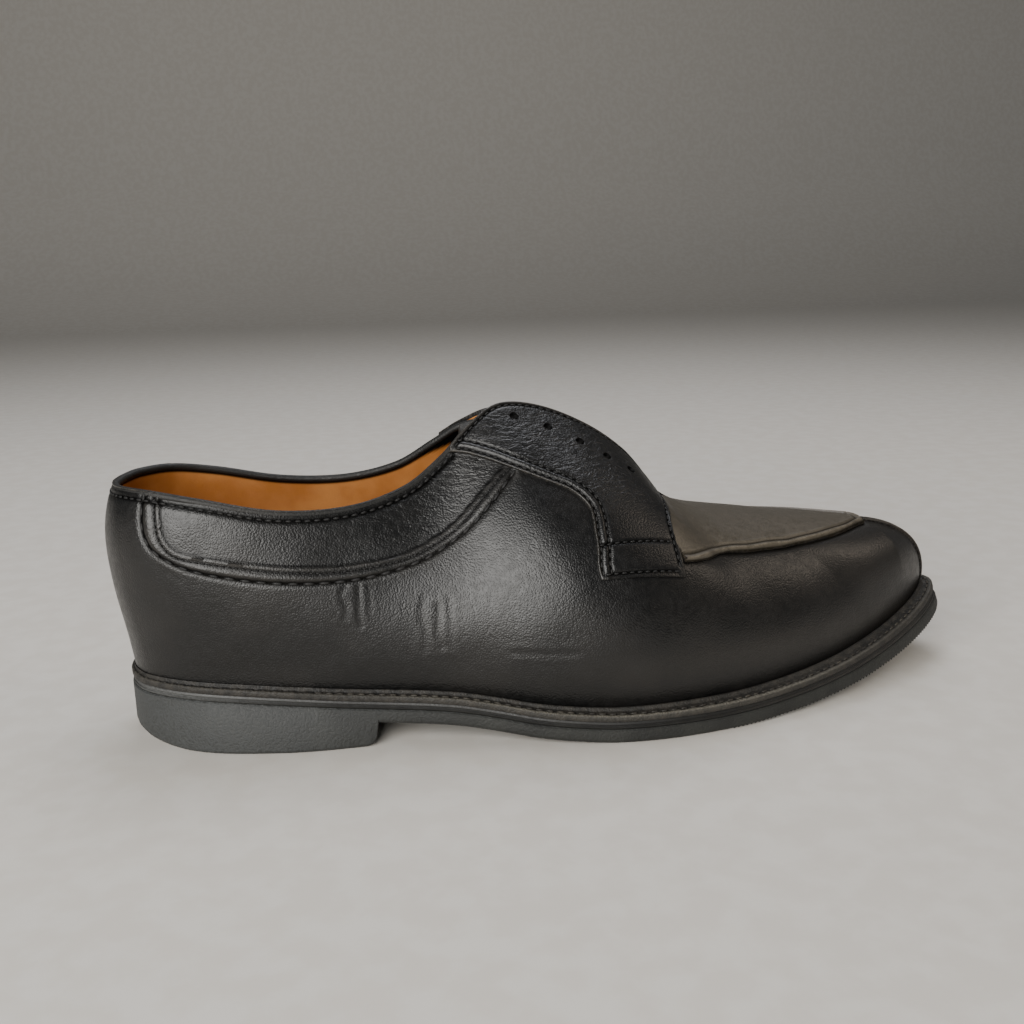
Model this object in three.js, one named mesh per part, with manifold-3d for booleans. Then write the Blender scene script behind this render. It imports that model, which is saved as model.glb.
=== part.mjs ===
// A split toe derby for the right foot, standing empty on its sole.
// Millimetres. x runs from the heel to the toe, y towards the inner (medial) side of the foot, z up.
// The shoe is described by two parameters. The turn runs round the sole from the middle of the
// heel back (0) to the toe tip (1) on either side, and the rise runs up the upper from the feather
// line, where it meets the welt (0), to the top line or the ridge of the vamp (1).

import * as THREE from 'three';
import { mergeVertices } from 'three/addons/utils/BufferGeometryUtils.js';
import Module from 'manifold-3d';

const wasm = await Module();
wasm.setup();

// Driving dimensions
const LENGTH = 309;            // heel back of the upper to the toe tip of the sole
const BALL_WIDTH = 108;        // sole across the ball of the foot, outer joint to inner joint
const COLLAR_WIDTH = 61.6;     // opening across the ankle
const LACING_GAP = 8.4;        // between the two lacing edges
const BACK_HEIGHT = 86.8;      // floor to the top of the heel back
const INSTEP_HEIGHT = 105;     // floor to the top of the upper under the facings
const TOE_HEIGHT = 55.5;       // floor to the top of the toe
const HEEL_RISE = 13;          // floor to the sole's underside at the heel back
const TOE_SPRING = 19;         // floor to the sole's underside at the toe tip
const HEEL_LENGTH = 85.6;      // sole back to the heel breast
const SOLE_BACK = 4.4;         // the sole starts this far in front of the upper's fullest point

// Material thicknesses
const OUTSOLE = 5;
const MIDSOLE = 2;
const WELT = 2.2;
const WELT_LIP = 1;            // height of the welt's inner bead
const INSOLE = 3.6;
const WALL = 2.4;              // upper with its lining
const PANEL_STEP = 1;          // the collar panel lies this much under the quarter
const FACING = 1.2;
const APRON = 1.5;
const APRON_RIM = 0.8;         // the apron's edge stands this much above the rest of it
const TONGUE = 2.2;
const TONGUE_ROOM = 0.98;      // the tongue lies this far under the upper
const SEAM_WIDTH = 5;          // split toe seam across both lips
const SEAM_LIP = 1.3;
const GAP = 0.3;               // between pieces that lie on each other
const LAID = 0.45;             // under pieces laid on the curved upper

// Edges and steps
const EDGE_ROUND = 1.8;        // rounding between the outsole's side and its tread
const HEEL_BEVEL = 3.4;        // further rounding round the back of the heel
const EDGE_EASE = 0.5;         // eased corners of the sole and the welt
const MIDSOLE_INSET = 0.6;     // the midsole's side lies this far inside the sole's edge
const INSOLE_EASE = 0.8;       // bevel round the top of the insole
const BREAST_SLOPE = 1.2;      // the heel breast leans this far forward
const HEEL_FLARE = 3;          // the heel's sides stand out this much at the floor
const LACING_TILT = 1.8;       // the outer lacing edge lies this much higher and the inner one lower

// Eyelets
const EYELET_RADIUS = 1.6;
const EYELET_SIDES = 8;

const LATERAL = -1;
const MEDIAL = 1;
const SIDES = [LATERAL, MEDIAL];
const THROAT_TURN = 0.66;      // the opening ends and the ridge of the vamp begins
const POLE_TURN = 0.84;        // from here on all ribs start at one point on top of the toe
const RIDGE_SLOPE_AT_POLE = -0.08;
const TILT_START = 0.43;       // turns between which the lacing's tilt comes in
const TILT_FULL = 0.50;
const TILT_FADE = 0.58;        // and from which it runs out towards the throat

// Half widths of the sole as shares of BALL_WIDTH
const SOLE_PLAN = [
  { turn: 0.00, lateral: 0.000, medial: 0.000 },
  { turn: 0.05, lateral: 0.093, medial: 0.093 },
  { turn: 0.10, lateral: 0.172, medial: 0.172 },
  { turn: 0.20, lateral: 0.283, medial: 0.283 },
  { turn: 0.30, lateral: 0.347, medial: 0.319 },
  { turn: 0.36, lateral: 0.375, medial: 0.306 },
  { turn: 0.42, lateral: 0.428, medial: 0.283 },
  { turn: 0.48, lateral: 0.495, medial: 0.300 },
  { turn: 0.54, lateral: 0.525, medial: 0.370 },
  { turn: 0.60, lateral: 0.497, medial: 0.440 },
  { turn: 0.66, lateral: 0.433, medial: 0.477 },
  { turn: 0.72, lateral: 0.354, medial: 0.468 },
  { turn: 0.78, lateral: 0.262, medial: 0.410 },
  { turn: 0.84, lateral: 0.170, medial: 0.308 },
  { turn: 0.90, lateral: 0.083, medial: 0.200 },
  { turn: 0.95, lateral: 0.020, medial: 0.116 },
  { turn: 1.00, lateral: -0.035, medial: 0.035 },
];

// Underside of the sole behind the ball: along is a share of LENGTH, up of HEEL_RISE
const SHANK = [
  { along: 0.00, up: 1.00 },
  { along: 0.12, up: 0.92 },
  { along: 0.20, up: 0.78 },
  { along: 0.28, up: 0.62 },
  { along: 0.36, up: 0.50 },
  { along: 0.405, up: 0.34 },
  { along: 0.45, up: 0.16 },
  { along: 0.52, up: 0.01 },
  { along: 0.58, up: -0.01 },
  { along: 1.00, up: 0 },
];
const ROLL_START = 0.62;       // share of LENGTH from which the sole rises towards the toe
const ROLL_POWER = 2.27;

// How far the feather line lies inside the sole's edge, as a share of BALL_WIDTH
const FEATHER = [
  { turn: 0.00, inset: 0.0125 },
  { turn: 0.12, inset: 0.0200 },
  { turn: 0.30, inset: 0.031 },
  { turn: 0.42, inset: 0.043 },
  { turn: 0.54, inset: 0.056 },
  { turn: 0.66, inset: 0.062 },
  { turn: 0.80, inset: 0.060 },
  { turn: 1.00, inset: 0.046 },
];

// Top line round the collar and along the lacing edge to the throat. along is a share of LENGTH,
// collar a share of half COLLAR_WIDTH, lacing of half LACING_GAP, back of BACK_HEIGHT and
// instep of INSTEP_HEIGHT.
const TOP_LINE = [
  { turn: 0.00, along: 0.0148, collar: 0.000, lacing: 0, back: 1.000, instep: 0 },
  { turn: 0.05, along: 0.0194, collar: 0.276, lacing: 0, back: 1.002, instep: 0 },
  { turn: 0.10, along: 0.0339, collar: 0.552, lacing: 0, back: 1.007, instep: 0 },
  { turn: 0.16, along: 0.0677, collar: 0.828, lacing: 0, back: 1.002, instep: 0 },
  { turn: 0.22, along: 0.1161, collar: 0.964, lacing: 0, back: 0.971, instep: 0 },
  { turn: 0.29, along: 0.1903, collar: 1.000, lacing: 0, back: 0.916, instep: 0 },
  { turn: 0.35, along: 0.2645, collar: 0.909, lacing: 0, back: 0.731, instep: 0.149 },
  { turn: 0.40, along: 0.3258, collar: 0.734, lacing: 0, back: 0.485, instep: 0.397 },
  { turn: 0.44, along: 0.3677, collar: 0.545, lacing: 0, back: 0.214, instep: 0.702 },
  { turn: 0.47, along: 0.3968, collar: 0.399, lacing: 0, back: 0, instep: 0.948 },
  { turn: 0.50, along: 0.4323, collar: 0.180, lacing: 0.536, back: 0, instep: 1.000 },
  { turn: 0.53, along: 0.4742, collar: 0.020, lacing: 1.000, back: 0, instep: 0.987 },
  { turn: 0.57, along: 0.5258, collar: 0, lacing: 1.000, back: 0, instep: 0.925 },
  { turn: 0.61, along: 0.5758, collar: 0, lacing: 0.929, back: 0, instep: 0.827 },
  { turn: 0.64, along: 0.6058, collar: 0, lacing: 0.714, back: 0, instep: 0.730 },
  { turn: 0.66, along: 0.6242, collar: 0, lacing: 0, back: 0, instep: 0.663 },
];

// Ridge of the vamp from the throat to the pole: along of LENGTH, instep of INSTEP_HEIGHT,
// toe of TOE_HEIGHT.
const RIDGE = [
  { turn: 0.66, along: 0.6242, instep: 0.663, toe: 0 },
  { turn: 0.68, along: 0.6440, instep: 0.632, toe: 0 },
  { turn: 0.70, along: 0.6690, instep: 0.306, toe: 0.560 },
  { turn: 0.75, along: 0.7405, instep: 0, toe: 1.069 },
  { turn: 0.80, along: 0.8150, instep: 0, toe: 1.022 },
  { turn: 0.84, along: 0.8670, instep: 0, toe: 1.000 },
];

// The last's section: each rib is a cubic curve with a handle at the feather line and one at the
// top. A handle's length is a share of the rib's chord. lean is how far it stands up from level,
// fall how far it hangs down from level, in degrees, and slope is the ridge's own slope.
const SECTION = [
  { turn: 0.00, low: 0.36, lean: 84, high: 0.34, fall: 67, slope: 0 },
  { turn: 0.10, low: 0.36, lean: 84, high: 0.34, fall: 68, slope: 0 },
  { turn: 0.20, low: 0.35, lean: 82, high: 0.36, fall: 70, slope: 0 },
  { turn: 0.30, low: 0.36, lean: 80, high: 0.38, fall: 70, slope: 0 },
  { turn: 0.36, low: 0.38, lean: 76, high: 0.38, fall: 68, slope: 0 },
  { turn: 0.42, low: 0.40, lean: 74, high: 0.38, fall: 64, slope: 0 },
  { turn: 0.48, low: 0.41, lean: 74, high: 0.38, fall: 52, slope: 0 },
  { turn: 0.54, low: 0.40, lean: 76, high: 0.38, fall: 38, slope: 0 },
  { turn: 0.60, low: 0.39, lean: 80, high: 0.40, fall: 26, slope: -0.30 },
  { turn: 0.66, low: 0.40, lean: 84, high: 0.45, fall: 8, slope: -0.50 },
  { turn: 0.70, low: 0.42, lean: 86, high: 0.51, fall: 2, slope: -0.30 },
  { turn: 0.75, low: 0.43, lean: 87, high: 0.55, fall: 0, slope: -0.15 },
  { turn: 0.80, low: 0.44, lean: 86, high: 0.57, fall: 0, slope: -0.08 },
  { turn: 0.84, low: 0.44, lean: 85, high: 0.56, fall: 0, slope: -0.08 },
  { turn: 0.92, low: 0.42, lean: 80, high: 0.53, fall: 0, slope: -0.08 },
  { turn: 1.00, low: 0.41, lean: 78, high: 0.50, fall: 0, slope: -0.08 },
];
const HEEL_CENTRE = 0.116;     // share of LENGTH round which the heel's ribs fan out

// Collar panel: its lower edge on the upper, between its back end and the facing
const PANEL = [
  { turn: 0.000, rise: 0.720 },
  { turn: 0.165, rise: 0.800 },
  { turn: 0.172, rise: 0.770 },
  { turn: 0.182, rise: 0.728 },
  { turn: 0.200, rise: 0.710 },
  { turn: 0.300, rise: 0.712 },
  { turn: 0.385, rise: 0.710 },
  { turn: 0.430, rise: 0.736 },
  { turn: 0.473, rise: 0.782 },
  { turn: 0.490, rise: 0.800 },
  { turn: 0.560, rise: 0.760 },
  { turn: 1.000, rise: 0.720 },
];
const PANEL_BACK = 0.166;
const PANEL_FRONT = 0.490;
const PANEL_CORNER = 0.004;    // half the turn over which the step falls at the panel's ends
const PANEL_RAMP = 0.012;      // share of a rib over which it falls along the lower edge

// Facing: share runs from the collar to the foot of the tab. edge is the lacing edge and then
// the tab's front, back is the sewn edge behind the eyelets.
const FACING_PLAN = [
  { share: 0.00, edgeTurn: 0.4470, edgeRise: 1.000, backTurn: 0.4470, backRise: 0.982 },
  { share: 0.10, edgeTurn: 0.4700, edgeRise: 1.000, backTurn: 0.4620, backRise: 0.930 },
  { share: 0.20, edgeTurn: 0.4950, edgeRise: 1.000, backTurn: 0.4780, backRise: 0.865 },
  { share: 0.30, edgeTurn: 0.5200, edgeRise: 1.000, backTurn: 0.4970, backRise: 0.785 },
  { share: 0.40, edgeTurn: 0.5500, edgeRise: 1.000, backTurn: 0.5170, backRise: 0.727 },
  { share: 0.50, edgeTurn: 0.5800, edgeRise: 1.000, backTurn: 0.5330, backRise: 0.690 },
  { share: 0.60, edgeTurn: 0.6120, edgeRise: 1.000, backTurn: 0.5405, backRise: 0.645 },
  { share: 0.70, edgeTurn: 0.6400, edgeRise: 1.000, backTurn: 0.5390, backRise: 0.600 },
  { share: 0.78, edgeTurn: 0.6510, edgeRise: 0.955, backTurn: 0.5350, backRise: 0.555 },
  { share: 0.86, edgeTurn: 0.6370, edgeRise: 0.820, backTurn: 0.5300, backRise: 0.500 },
  { share: 0.93, edgeTurn: 0.6090, edgeRise: 0.630, backTurn: 0.5245, backRise: 0.450 },
  { share: 1.00, edgeTurn: 0.5890, edgeRise: 0.428, backTurn: 0.5220, backRise: 0.410 },
];

const EYELETS = [
  { turn: 0.511, rise: 0.955 },
  { turn: 0.537, rise: 0.928 },
  { turn: 0.562, rise: 0.905 },
  { turn: 0.585, rise: 0.886 },
  { turn: 0.606, rise: 0.870 },
];

// Apron: low is its edge on the vamp, high where it stops at the facing or meets the ridge
const APRON_PLAN = [
  { turn: 0.602, low: 0.492, high: 0.515 },
  { turn: 0.614, low: 0.502, high: 0.625 },
  { turn: 0.630, low: 0.525, high: 0.728 },
  { turn: 0.643, low: 0.545, high: 0.820 },
  { turn: 0.656, low: 0.563, high: 0.950 },
  { turn: 0.662, low: 0.570, high: 1.000 },
  { turn: 0.710, low: 0.606, high: 1.000 },
  { turn: 0.743, low: 0.632, high: 1.000 },
  { turn: 0.769, low: 0.675, high: 1.000 },
  { turn: 0.791, low: 0.738, high: 1.000 },
  { turn: 0.814, low: 0.808, high: 1.000 },
  { turn: 0.860, low: 0.880, high: 1.000 },
  { turn: 0.930, low: 0.918, high: 1.000 },
  { turn: 1.000, low: 0.925, high: 1.000 },
];

// Smooth curve through a table's rows, read at one value of its key column
function read(table, key, column, value) {
  const last = table.length - 1;
  let row = 0;
  while (row < last - 1 && value >= table[row + 1][key]) row += 1;
  const slope = (i) => {
    const inner = Math.min(Math.max(i, 1), last - 1);
    const before = table[inner - 1];
    const after = table[inner + 1];
    const middle = (after[column] - before[column]) / (after[key] - before[key]);
    if (i === inner) return middle;
    const end = i === 0 ? [table[0], table[1]] : [table[last - 1], table[last]];
    return 1.5 * (end[1][column] - end[0][column]) / (end[1][key] - end[0][key]) - 0.5 * middle;
  };
  const from = table[row];
  const to = table[row + 1];
  const step = to[key] - from[key];
  const t = (value - from[key]) / step;
  const t2 = t * t;
  const t3 = t2 * t;
  return (2 * t3 - 3 * t2 + 1) * from[column] + (t3 - 2 * t2 + t) * step * slope(row)
    + (3 * t2 - 2 * t3) * to[column] + (t3 - t2) * step * slope(row + 1);
}

function smoothstep(low, high, value) {
  return THREE.MathUtils.smoothstep(value, low, high);
}

// Sole outline, with its ends round, and its height
const STACK = OUTSOLE + MIDSOLE + WELT + 2 * GAP;

function soleX(turn) {
  return SOLE_BACK + (LENGTH - SOLE_BACK) * (1 - Math.cos(Math.PI * turn)) / 2;
}

function solePoint(turn, side) {
  const column = side === LATERAL ? 'lateral' : 'medial';
  return new THREE.Vector2(soleX(turn), side * BALL_WIDTH * read(SOLE_PLAN, 'turn', column, turn));
}

function soleEdge(turn, side, inset) {
  const point = solePoint(turn, side);
  const tiny = 1e-3;
  const before = solePoint(Math.max(turn - tiny, 0), side);
  const after = solePoint(Math.min(turn + tiny, 1), side);
  const along = after.sub(before);
  if (turn <= 0) along.set(0, side);
  if (turn >= 1) along.set(0, -side);
  along.normalize();
  return new THREE.Vector2(point.x - side * -along.y * inset, point.y - side * along.x * inset);
}

function toeRise(x) {
  const share = Math.max(0, (x / LENGTH - ROLL_START) / (1 - ROLL_START));
  return TOE_SPRING * share ** ROLL_POWER;
}

function treadHeight(x) {
  return Math.max(0, HEEL_RISE * read(SHANK, 'along', 'up', x / LENGTH)) + toeRise(x);
}

// A place in the sole, at one inset from its edge and one height above its underside. The layers
// lie square to the rising toe, so what is higher sits further back.
function solePlace(turn, side, inset, above) {
  const edge = soleEdge(turn, side, inset);
  const slope = toeRise(edge.x) - toeRise(edge.x - 1);
  return new THREE.Vector3(edge.x - above * slope, edge.y, treadHeight(edge.x) + above);
}

function featherInset(turn) {
  return BALL_WIDTH * read(FEATHER, 'turn', 'inset', turn);
}

// Top line, ridge and pole
function topPoint(turn, side) {
  if (turn < THROAT_TURN) {
    const get = (column) => read(TOP_LINE, 'turn', column, turn);
    const half = (get('collar') * COLLAR_WIDTH + get('lacing') * LACING_GAP) / 2;
    const tilt = smoothstep(TILT_START, TILT_FULL, turn) * (1 - smoothstep(TILT_FADE, THROAT_TURN, turn));
    const level = get('back') * BACK_HEIGHT + get('instep') * INSTEP_HEIGHT;
    const height = level - side * LACING_TILT * tilt;
    return new THREE.Vector3(get('along') * LENGTH, side * Math.max(half, 0), height);
  }
  const at = Math.min(turn, POLE_TURN);
  const get = (column) => read(RIDGE, 'turn', column, at);
  return new THREE.Vector3(get('along') * LENGTH, 0, get('instep') * INSTEP_HEIGHT + get('toe') * TOE_HEIGHT);
}

// The outer face of the upper. A rise below 0 is the skirt inside the welt.
function upperPoint(turn, rise, side) {
  const foot = solePlace(turn, side, featherInset(turn), STACK + Math.min(rise, 0) * WELT);
  if (rise <= 0) return foot;
  const top = topPoint(turn, side);
  const pole = topPoint(1, side).x;
  const centre = THREE.MathUtils.clamp(soleX(turn), HEEL_CENTRE * LENGTH, pole);
  const out = new THREE.Vector2(foot.x - centre, foot.y).normalize();
  const get = (column) => read(SECTION, 'turn', column, turn);
  const chord = foot.distanceTo(top);
  const lean = THREE.MathUtils.degToRad(get('lean'));
  const fall = THREE.MathUtils.degToRad(get('fall'));
  const low = new THREE.Vector3(Math.cos(lean) * out.x, Math.cos(lean) * out.y, Math.sin(lean));
  const high = new THREE.Vector3(
    Math.cos(fall) * out.x,
    Math.cos(fall) * out.y,
    Math.cos(fall) * get('slope') * out.x - Math.sin(fall),
  );
  low.multiplyScalar(get('low') * chord).add(foot);
  high.multiplyScalar(get('high') * chord).add(top);
  return new THREE.CubicBezierCurve3(foot, low, high, top).getPoint(rise);
}

// Outward unit normal of the upper. On the ridge and on the end ribs both sides share one.
function upperNormal(turn, rise, side) {
  const tiny = 2e-3;
  if (rise >= 1 && turn >= POLE_TURN) return new THREE.Vector3(-RIDGE_SLOPE_AT_POLE, 0, 1).normalize();
  if (rise >= 1 && turn >= THROAT_TURN) {
    const along = topPoint(turn + tiny, side).sub(topPoint(Math.max(turn - tiny, THROAT_TURN), side));
    return new THREE.Vector3(-along.z, 0, along.x).normalize();
  }
  const above = Math.min(rise + tiny, 1);
  const below = rise <= 0 ? rise - tiny : Math.max(rise - tiny, 1e-4);
  const up = upperPoint(turn, rise < 0 ? 0 : above, side).sub(upperPoint(turn, rise < 0 ? -1 : below, side));
  let along;
  if (turn <= 0 || turn >= 1) {
    const near = turn <= 0 ? tiny : 1 - tiny;
    along = upperPoint(near, rise, side).sub(upperPoint(near, rise, -side));
  } else {
    along = upperPoint(Math.min(turn + tiny, 1), rise, side);
    along.sub(upperPoint(Math.max(turn - tiny, 0), rise, side));
  }
  const normal = along.cross(up).normalize();
  const inwards = side === LATERAL ? 1 : -1;
  const flip = turn >= 1 ? -inwards : inwards;
  return normal.multiplyScalar(flip);
}

function panelDepth({ turn, rise }) {
  const ends = smoothstep(PANEL_BACK - PANEL_CORNER, PANEL_BACK + PANEL_CORNER, turn)
    * (1 - smoothstep(PANEL_FRONT - PANEL_CORNER, PANEL_FRONT + PANEL_CORNER, turn));
  const edge = read(PANEL, 'turn', 'rise', turn);
  return PANEL_STEP * ends * smoothstep(edge, edge + PANEL_RAMP, rise);
}

// An open sheet of triangles on the upper. Points that both sides share are welded.
class Sheet {
  constructor() {
    this.points = [];
    this.faces = [];
    this.index = new Map();
  }

  point(turn, rise, side, lift = 0) {
    let key = `${turn.toFixed(6)} ${rise.toFixed(6)} ${side}`;
    if (rise >= 1 && turn >= THROAT_TURN) key = `ridge ${Math.min(turn, POLE_TURN).toFixed(6)}`;
    else if (turn <= 0 || turn >= 1) key = `${turn.toFixed(6)} ${rise.toFixed(6)}`;
    if (!this.index.has(key)) {
      this.index.set(key, this.points.length);
      this.points.push({ turn, rise, side, lift });
    }
    return this.index.get(key);
  }

  triangle(a, b, c) {
    if (a !== b && b !== c && c !== a) this.faces.push([a, b, c]);
  }

  // rows[i][j] are point numbers; i runs along the turn and j up the rise
  grid(rows, side) {
    for (let i = 0; i + 1 < rows.length; i += 1) {
      for (let j = 0; j + 1 < rows[i].length; j += 1) {
        const ring = [rows[i][j], rows[i + 1][j], rows[i + 1][j + 1], rows[i][j + 1]];
        if (side === MEDIAL) ring.reverse();
        this.triangle(ring[0], ring[1], ring[2]);
        this.triangle(ring[0], ring[2], ring[3]);
      }
    }
  }
}

// Gives a sheet its thickness between two heights above the upper's outer face
function thicken(sheet, lowHeight, highHeight) {
  const raised = (height) => sheet.points.map((place) => {
    const { turn, rise, side } = place;
    return upperPoint(turn, rise, side).addScaledVector(upperNormal(turn, rise, side), height(place));
  });
  return closedSolid(raised(highHeight), raised(lowHeight), sheet.faces);
}

// Joins an upper and a lower copy of an open sheet with walls along its borders
function closedSolid(high, low, faces) {
  const count = high.length;
  const edges = new Set();
  for (const [a, b, c] of faces) {
    edges.add(`${a} ${b}`);
    edges.add(`${b} ${c}`);
    edges.add(`${c} ${a}`);
  }
  const triangles = [];
  for (const [a, b, c] of faces) {
    triangles.push([a, b, c], [c + count, b + count, a + count]);
  }
  for (const edge of edges) {
    const [a, b] = edge.split(' ').map(Number);
    if (!edges.has(`${b} ${a}`)) triangles.push([b, a, a + count], [b, a + count, b + count]);
  }
  return geometryOf([...high, ...low], triangles);
}

function geometryOf(points, triangles) {
  const geometry = new THREE.BufferGeometry();
  const positions = new Float32Array(points.flatMap((p) => [p.x, p.y, p.z]));
  geometry.setAttribute('position', new THREE.BufferAttribute(positions, 3));
  geometry.setIndex(triangles.flat());
  return geometry;
}

// Booleans
function solidOf(geometry) {
  const bare = geometry.clone();
  bare.deleteAttribute('normal');
  bare.deleteAttribute('uv');
  const merged = mergeVertices(bare, 1e-4);
  const mesh = new wasm.Mesh({
    numProp: 3,
    vertProperties: new Float32Array(merged.attributes.position.array),
    triVerts: new Uint32Array(merged.index.array),
  });
  return new wasm.Manifold(mesh);
}

function geometryFrom(solid) {
  const mesh = solid.getMesh();
  const geometry = new THREE.BufferGeometry();
  geometry.setAttribute('position', new THREE.BufferAttribute(new Float32Array(mesh.vertProperties), 3));
  geometry.setIndex(Array.from(mesh.triVerts));
  return geometry;
}

function cutEyelets(geometry, side) {
  let solid = solidOf(geometry);
  const reach = 8 * WALL;
  for (const { turn, rise } of EYELETS) {
    const pin = new THREE.CylinderGeometry(EYELET_RADIUS, EYELET_RADIUS, reach, EYELET_SIDES);
    const turned = new THREE.Quaternion().setFromUnitVectors(
      new THREE.Vector3(0, 1, 0),
      upperNormal(turn, rise, side),
    );
    pin.applyQuaternion(turned);
    const centre = upperPoint(turn, rise, side);
    pin.translate(centre.x, centre.y, centre.z);
    solid = solid.subtract(solidOf(pin));
  }
  return geometryFrom(solid);
}

// Sole pieces. A row is one outline of the sole, given by its inset and its height above the
// sole's underside.
const SOLE_TURNS = 40;
const SPACING = 0.3;           // even stations nearer to a kept one than this share of a step are left out

function soleStations() {
  const turnAt = (length) => Math.acos(1 - 2 * length / (LENGTH - SOLE_BACK)) / Math.PI;
  const breast = { turn: turnAt(HEEL_LENGTH), heel: true };
  const front = { turn: turnAt(HEEL_LENGTH + BREAST_SLOPE), heel: false };
  const even = Array.from({ length: SOLE_TURNS + 1 }, (_, i) => i / SOLE_TURNS);
  const clear = even.filter((turn) => Math.abs(turn - breast.turn) > SPACING / SOLE_TURNS);
  const stations = clear.map((turn) => ({ turn, heel: turn < breast.turn }));
  return [...stations, breast, front].sort((a, b) => a.turn - b.turn);
}

function slab(stations, rows) {
  const loop = [
    ...stations.map((station) => ({ ...station, side: LATERAL })),
    ...stations.slice(1, -1).reverse().map((station) => ({ ...station, side: MEDIAL })),
  ];
  const count = loop.length;
  const points = rows.flatMap((row) => loop.map((place) => {
    const above = row.above(place.turn);
    const point = solePlace(place.turn, place.side, row.inset(place.turn), above);
    return place.heel && row.onFloor ? point.setZ(above) : point;
  }));
  const triangles = [];
  for (let r = 0; r + 1 < rows.length; r += 1) {
    for (let i = 0; i < count; i += 1) {
      const a = r * count + i;
      const b = r * count + (i + 1) % count;
      triangles.push([a, b, b + count], [a, b + count, a + count]);
    }
  }
  const last = (rows.length - 1) * count;
  for (let i = 0; i + 1 < stations.length; i += 1) {
    const near = [i, i + 1];
    const far = near.map((k) => (count - k) % count);
    const bottom = [[near[0], far[0], far[1]], [near[0], far[1], near[1]]];
    for (const face of bottom) {
      if (new Set(face).size < 3) continue;
      triangles.push(face, face.slice().reverse().map((k) => k + last));
    }
  }
  return geometryOf(points, triangles);
}

// Rounding at the foot of the outsole's side, in shares of its size
const TREAD_ROUND = [
  { inset: 1.0, up: 0.0 },
  { inset: 0.3, up: 0.3 },
  { inset: 0.0, up: 0.9 },
];
const BEVEL_FULL = 0.04;       // turn up to which the heel's bevel has its full size
const BEVEL_END = 0.18;        // and at which it has run out
const FLARE_START = 0.08;      // turns between which the heel's flare comes in
const FLARE_FULL = 0.22;
const FLARE_FADE = 0.27;       // and between which it runs out towards the breast
const FLARE_END = 0.36;

function makeOutsole() {
  const size = (turn) => EDGE_ROUND + HEEL_BEVEL * (1 - smoothstep(BEVEL_FULL, BEVEL_END, turn));
  const flare = (turn) => HEEL_FLARE * smoothstep(FLARE_START, FLARE_FULL, turn)
    * (1 - smoothstep(FLARE_FADE, FLARE_END, turn));
  const tread = TREAD_ROUND.map(({ inset, up }) => ({
    inset: (turn) => inset * size(turn) - flare(turn),
    above: (turn) => up * size(turn),
    onFloor: true,
  }));
  return slab(soleStations(), [
    ...tread,
    { inset: () => 0, above: () => OUTSOLE - EDGE_EASE },
    { inset: () => EDGE_EASE, above: () => OUTSOLE },
  ]);
}

function makeMidsole() {
  const inset = () => MIDSOLE_INSET;
  const base = OUTSOLE + GAP;
  return slab(soleStations(), [{ inset, above: () => base }, { inset, above: () => base + MIDSOLE }]);
}

function makeInsole() {
  const base = STACK - WELT;
  const inset = (turn) => featherInset(turn) + WALL + GAP;
  return slab(soleStations(), [
    { inset, above: () => base },
    { inset, above: () => base + INSOLE - INSOLE_EASE },
    { inset: (turn) => inset(turn) + INSOLE_EASE, above: () => base + INSOLE },
  ]);
}

// The welt is a ring: each station carries one closed section. across is a share of the way from
// the sole's edge to the upper, ease and chamfer are shares of EDGE_EASE further in and further
// down, under is a share of WELT down and lip a share of WELT_LIP up.
const WELT_SECTION = [
  { across: 1.00, ease: 0, chamfer: 0, under: 1, lip: 0 },
  { across: 0.00, ease: 0, chamfer: 0, under: 1, lip: 0 },
  { across: 0.00, ease: 0, chamfer: 1, under: 0, lip: 0 },
  { across: 0.00, ease: 1, chamfer: 0, under: 0, lip: 0 },
  { across: 0.64, ease: 0, chamfer: 0, under: 0, lip: 0 },
  { across: 0.72, ease: 0, chamfer: 0, under: 0, lip: 1 },
  { across: 0.93, ease: 0, chamfer: 0, under: 0, lip: 1 },
  { across: 1.00, ease: 0, chamfer: 0, under: 0, lip: 0 },
];

function makeWelt() {
  const stations = soleStations();
  const loop = [
    ...stations.map(({ turn }) => ({ turn, side: LATERAL })),
    ...stations.slice(1, -1).reverse().map(({ turn }) => ({ turn, side: MEDIAL })),
  ];
  const size = WELT_SECTION.length;
  const points = loop.flatMap(({ turn, side }) => WELT_SECTION.map((corner) => {
    const inset = corner.across * (featherInset(turn) - GAP) + corner.ease * EDGE_EASE;
    const up = corner.lip * WELT_LIP - corner.under * WELT - corner.chamfer * EDGE_EASE;
    return solePlace(turn, side, inset, STACK + up);
  }));
  const triangles = [];
  for (let i = 0; i < loop.length; i += 1) {
    const next = (i + 1) % loop.length;
    for (let j = 0; j < size; j += 1) {
      const a = i * size + j;
      const b = next * size + j;
      const c = next * size + (j + 1) % size;
      const d = i * size + (j + 1) % size;
      triangles.push([a, b, c], [a, c, d]);
    }
  }
  return geometryOf(points, triangles);
}

// Upper: one hollow shell on the form of the last
const UPPER_TURNS = 38;
const THROAT_STEP = 0.01;      // finer where the section changes fastest
const THROAT_COLUMNS = [-6, -5, -4, -3, -2, -1, 0, 1];
const RIB_SHARES = [0, 0.25, 0.5, 0.75, 1];

function upperTurns() {
  const turns = Array.from({ length: UPPER_TURNS + 1 }, (_, i) => i / UPPER_TURNS);
  const throat = THROAT_COLUMNS.map((step) => THROAT_TURN + step * THROAT_STEP);
  const kept = [PANEL_BACK - PANEL_CORNER, PANEL_BACK + PANEL_CORNER, PANEL_FRONT, ...throat, POLE_TURN];
  const near = (turn) => kept.some((fixed) => Math.abs(fixed - turn) < SPACING / UPPER_TURNS);
  return [...turns.filter((turn) => !near(turn)), ...kept].sort((a, b) => a - b);
}

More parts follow.
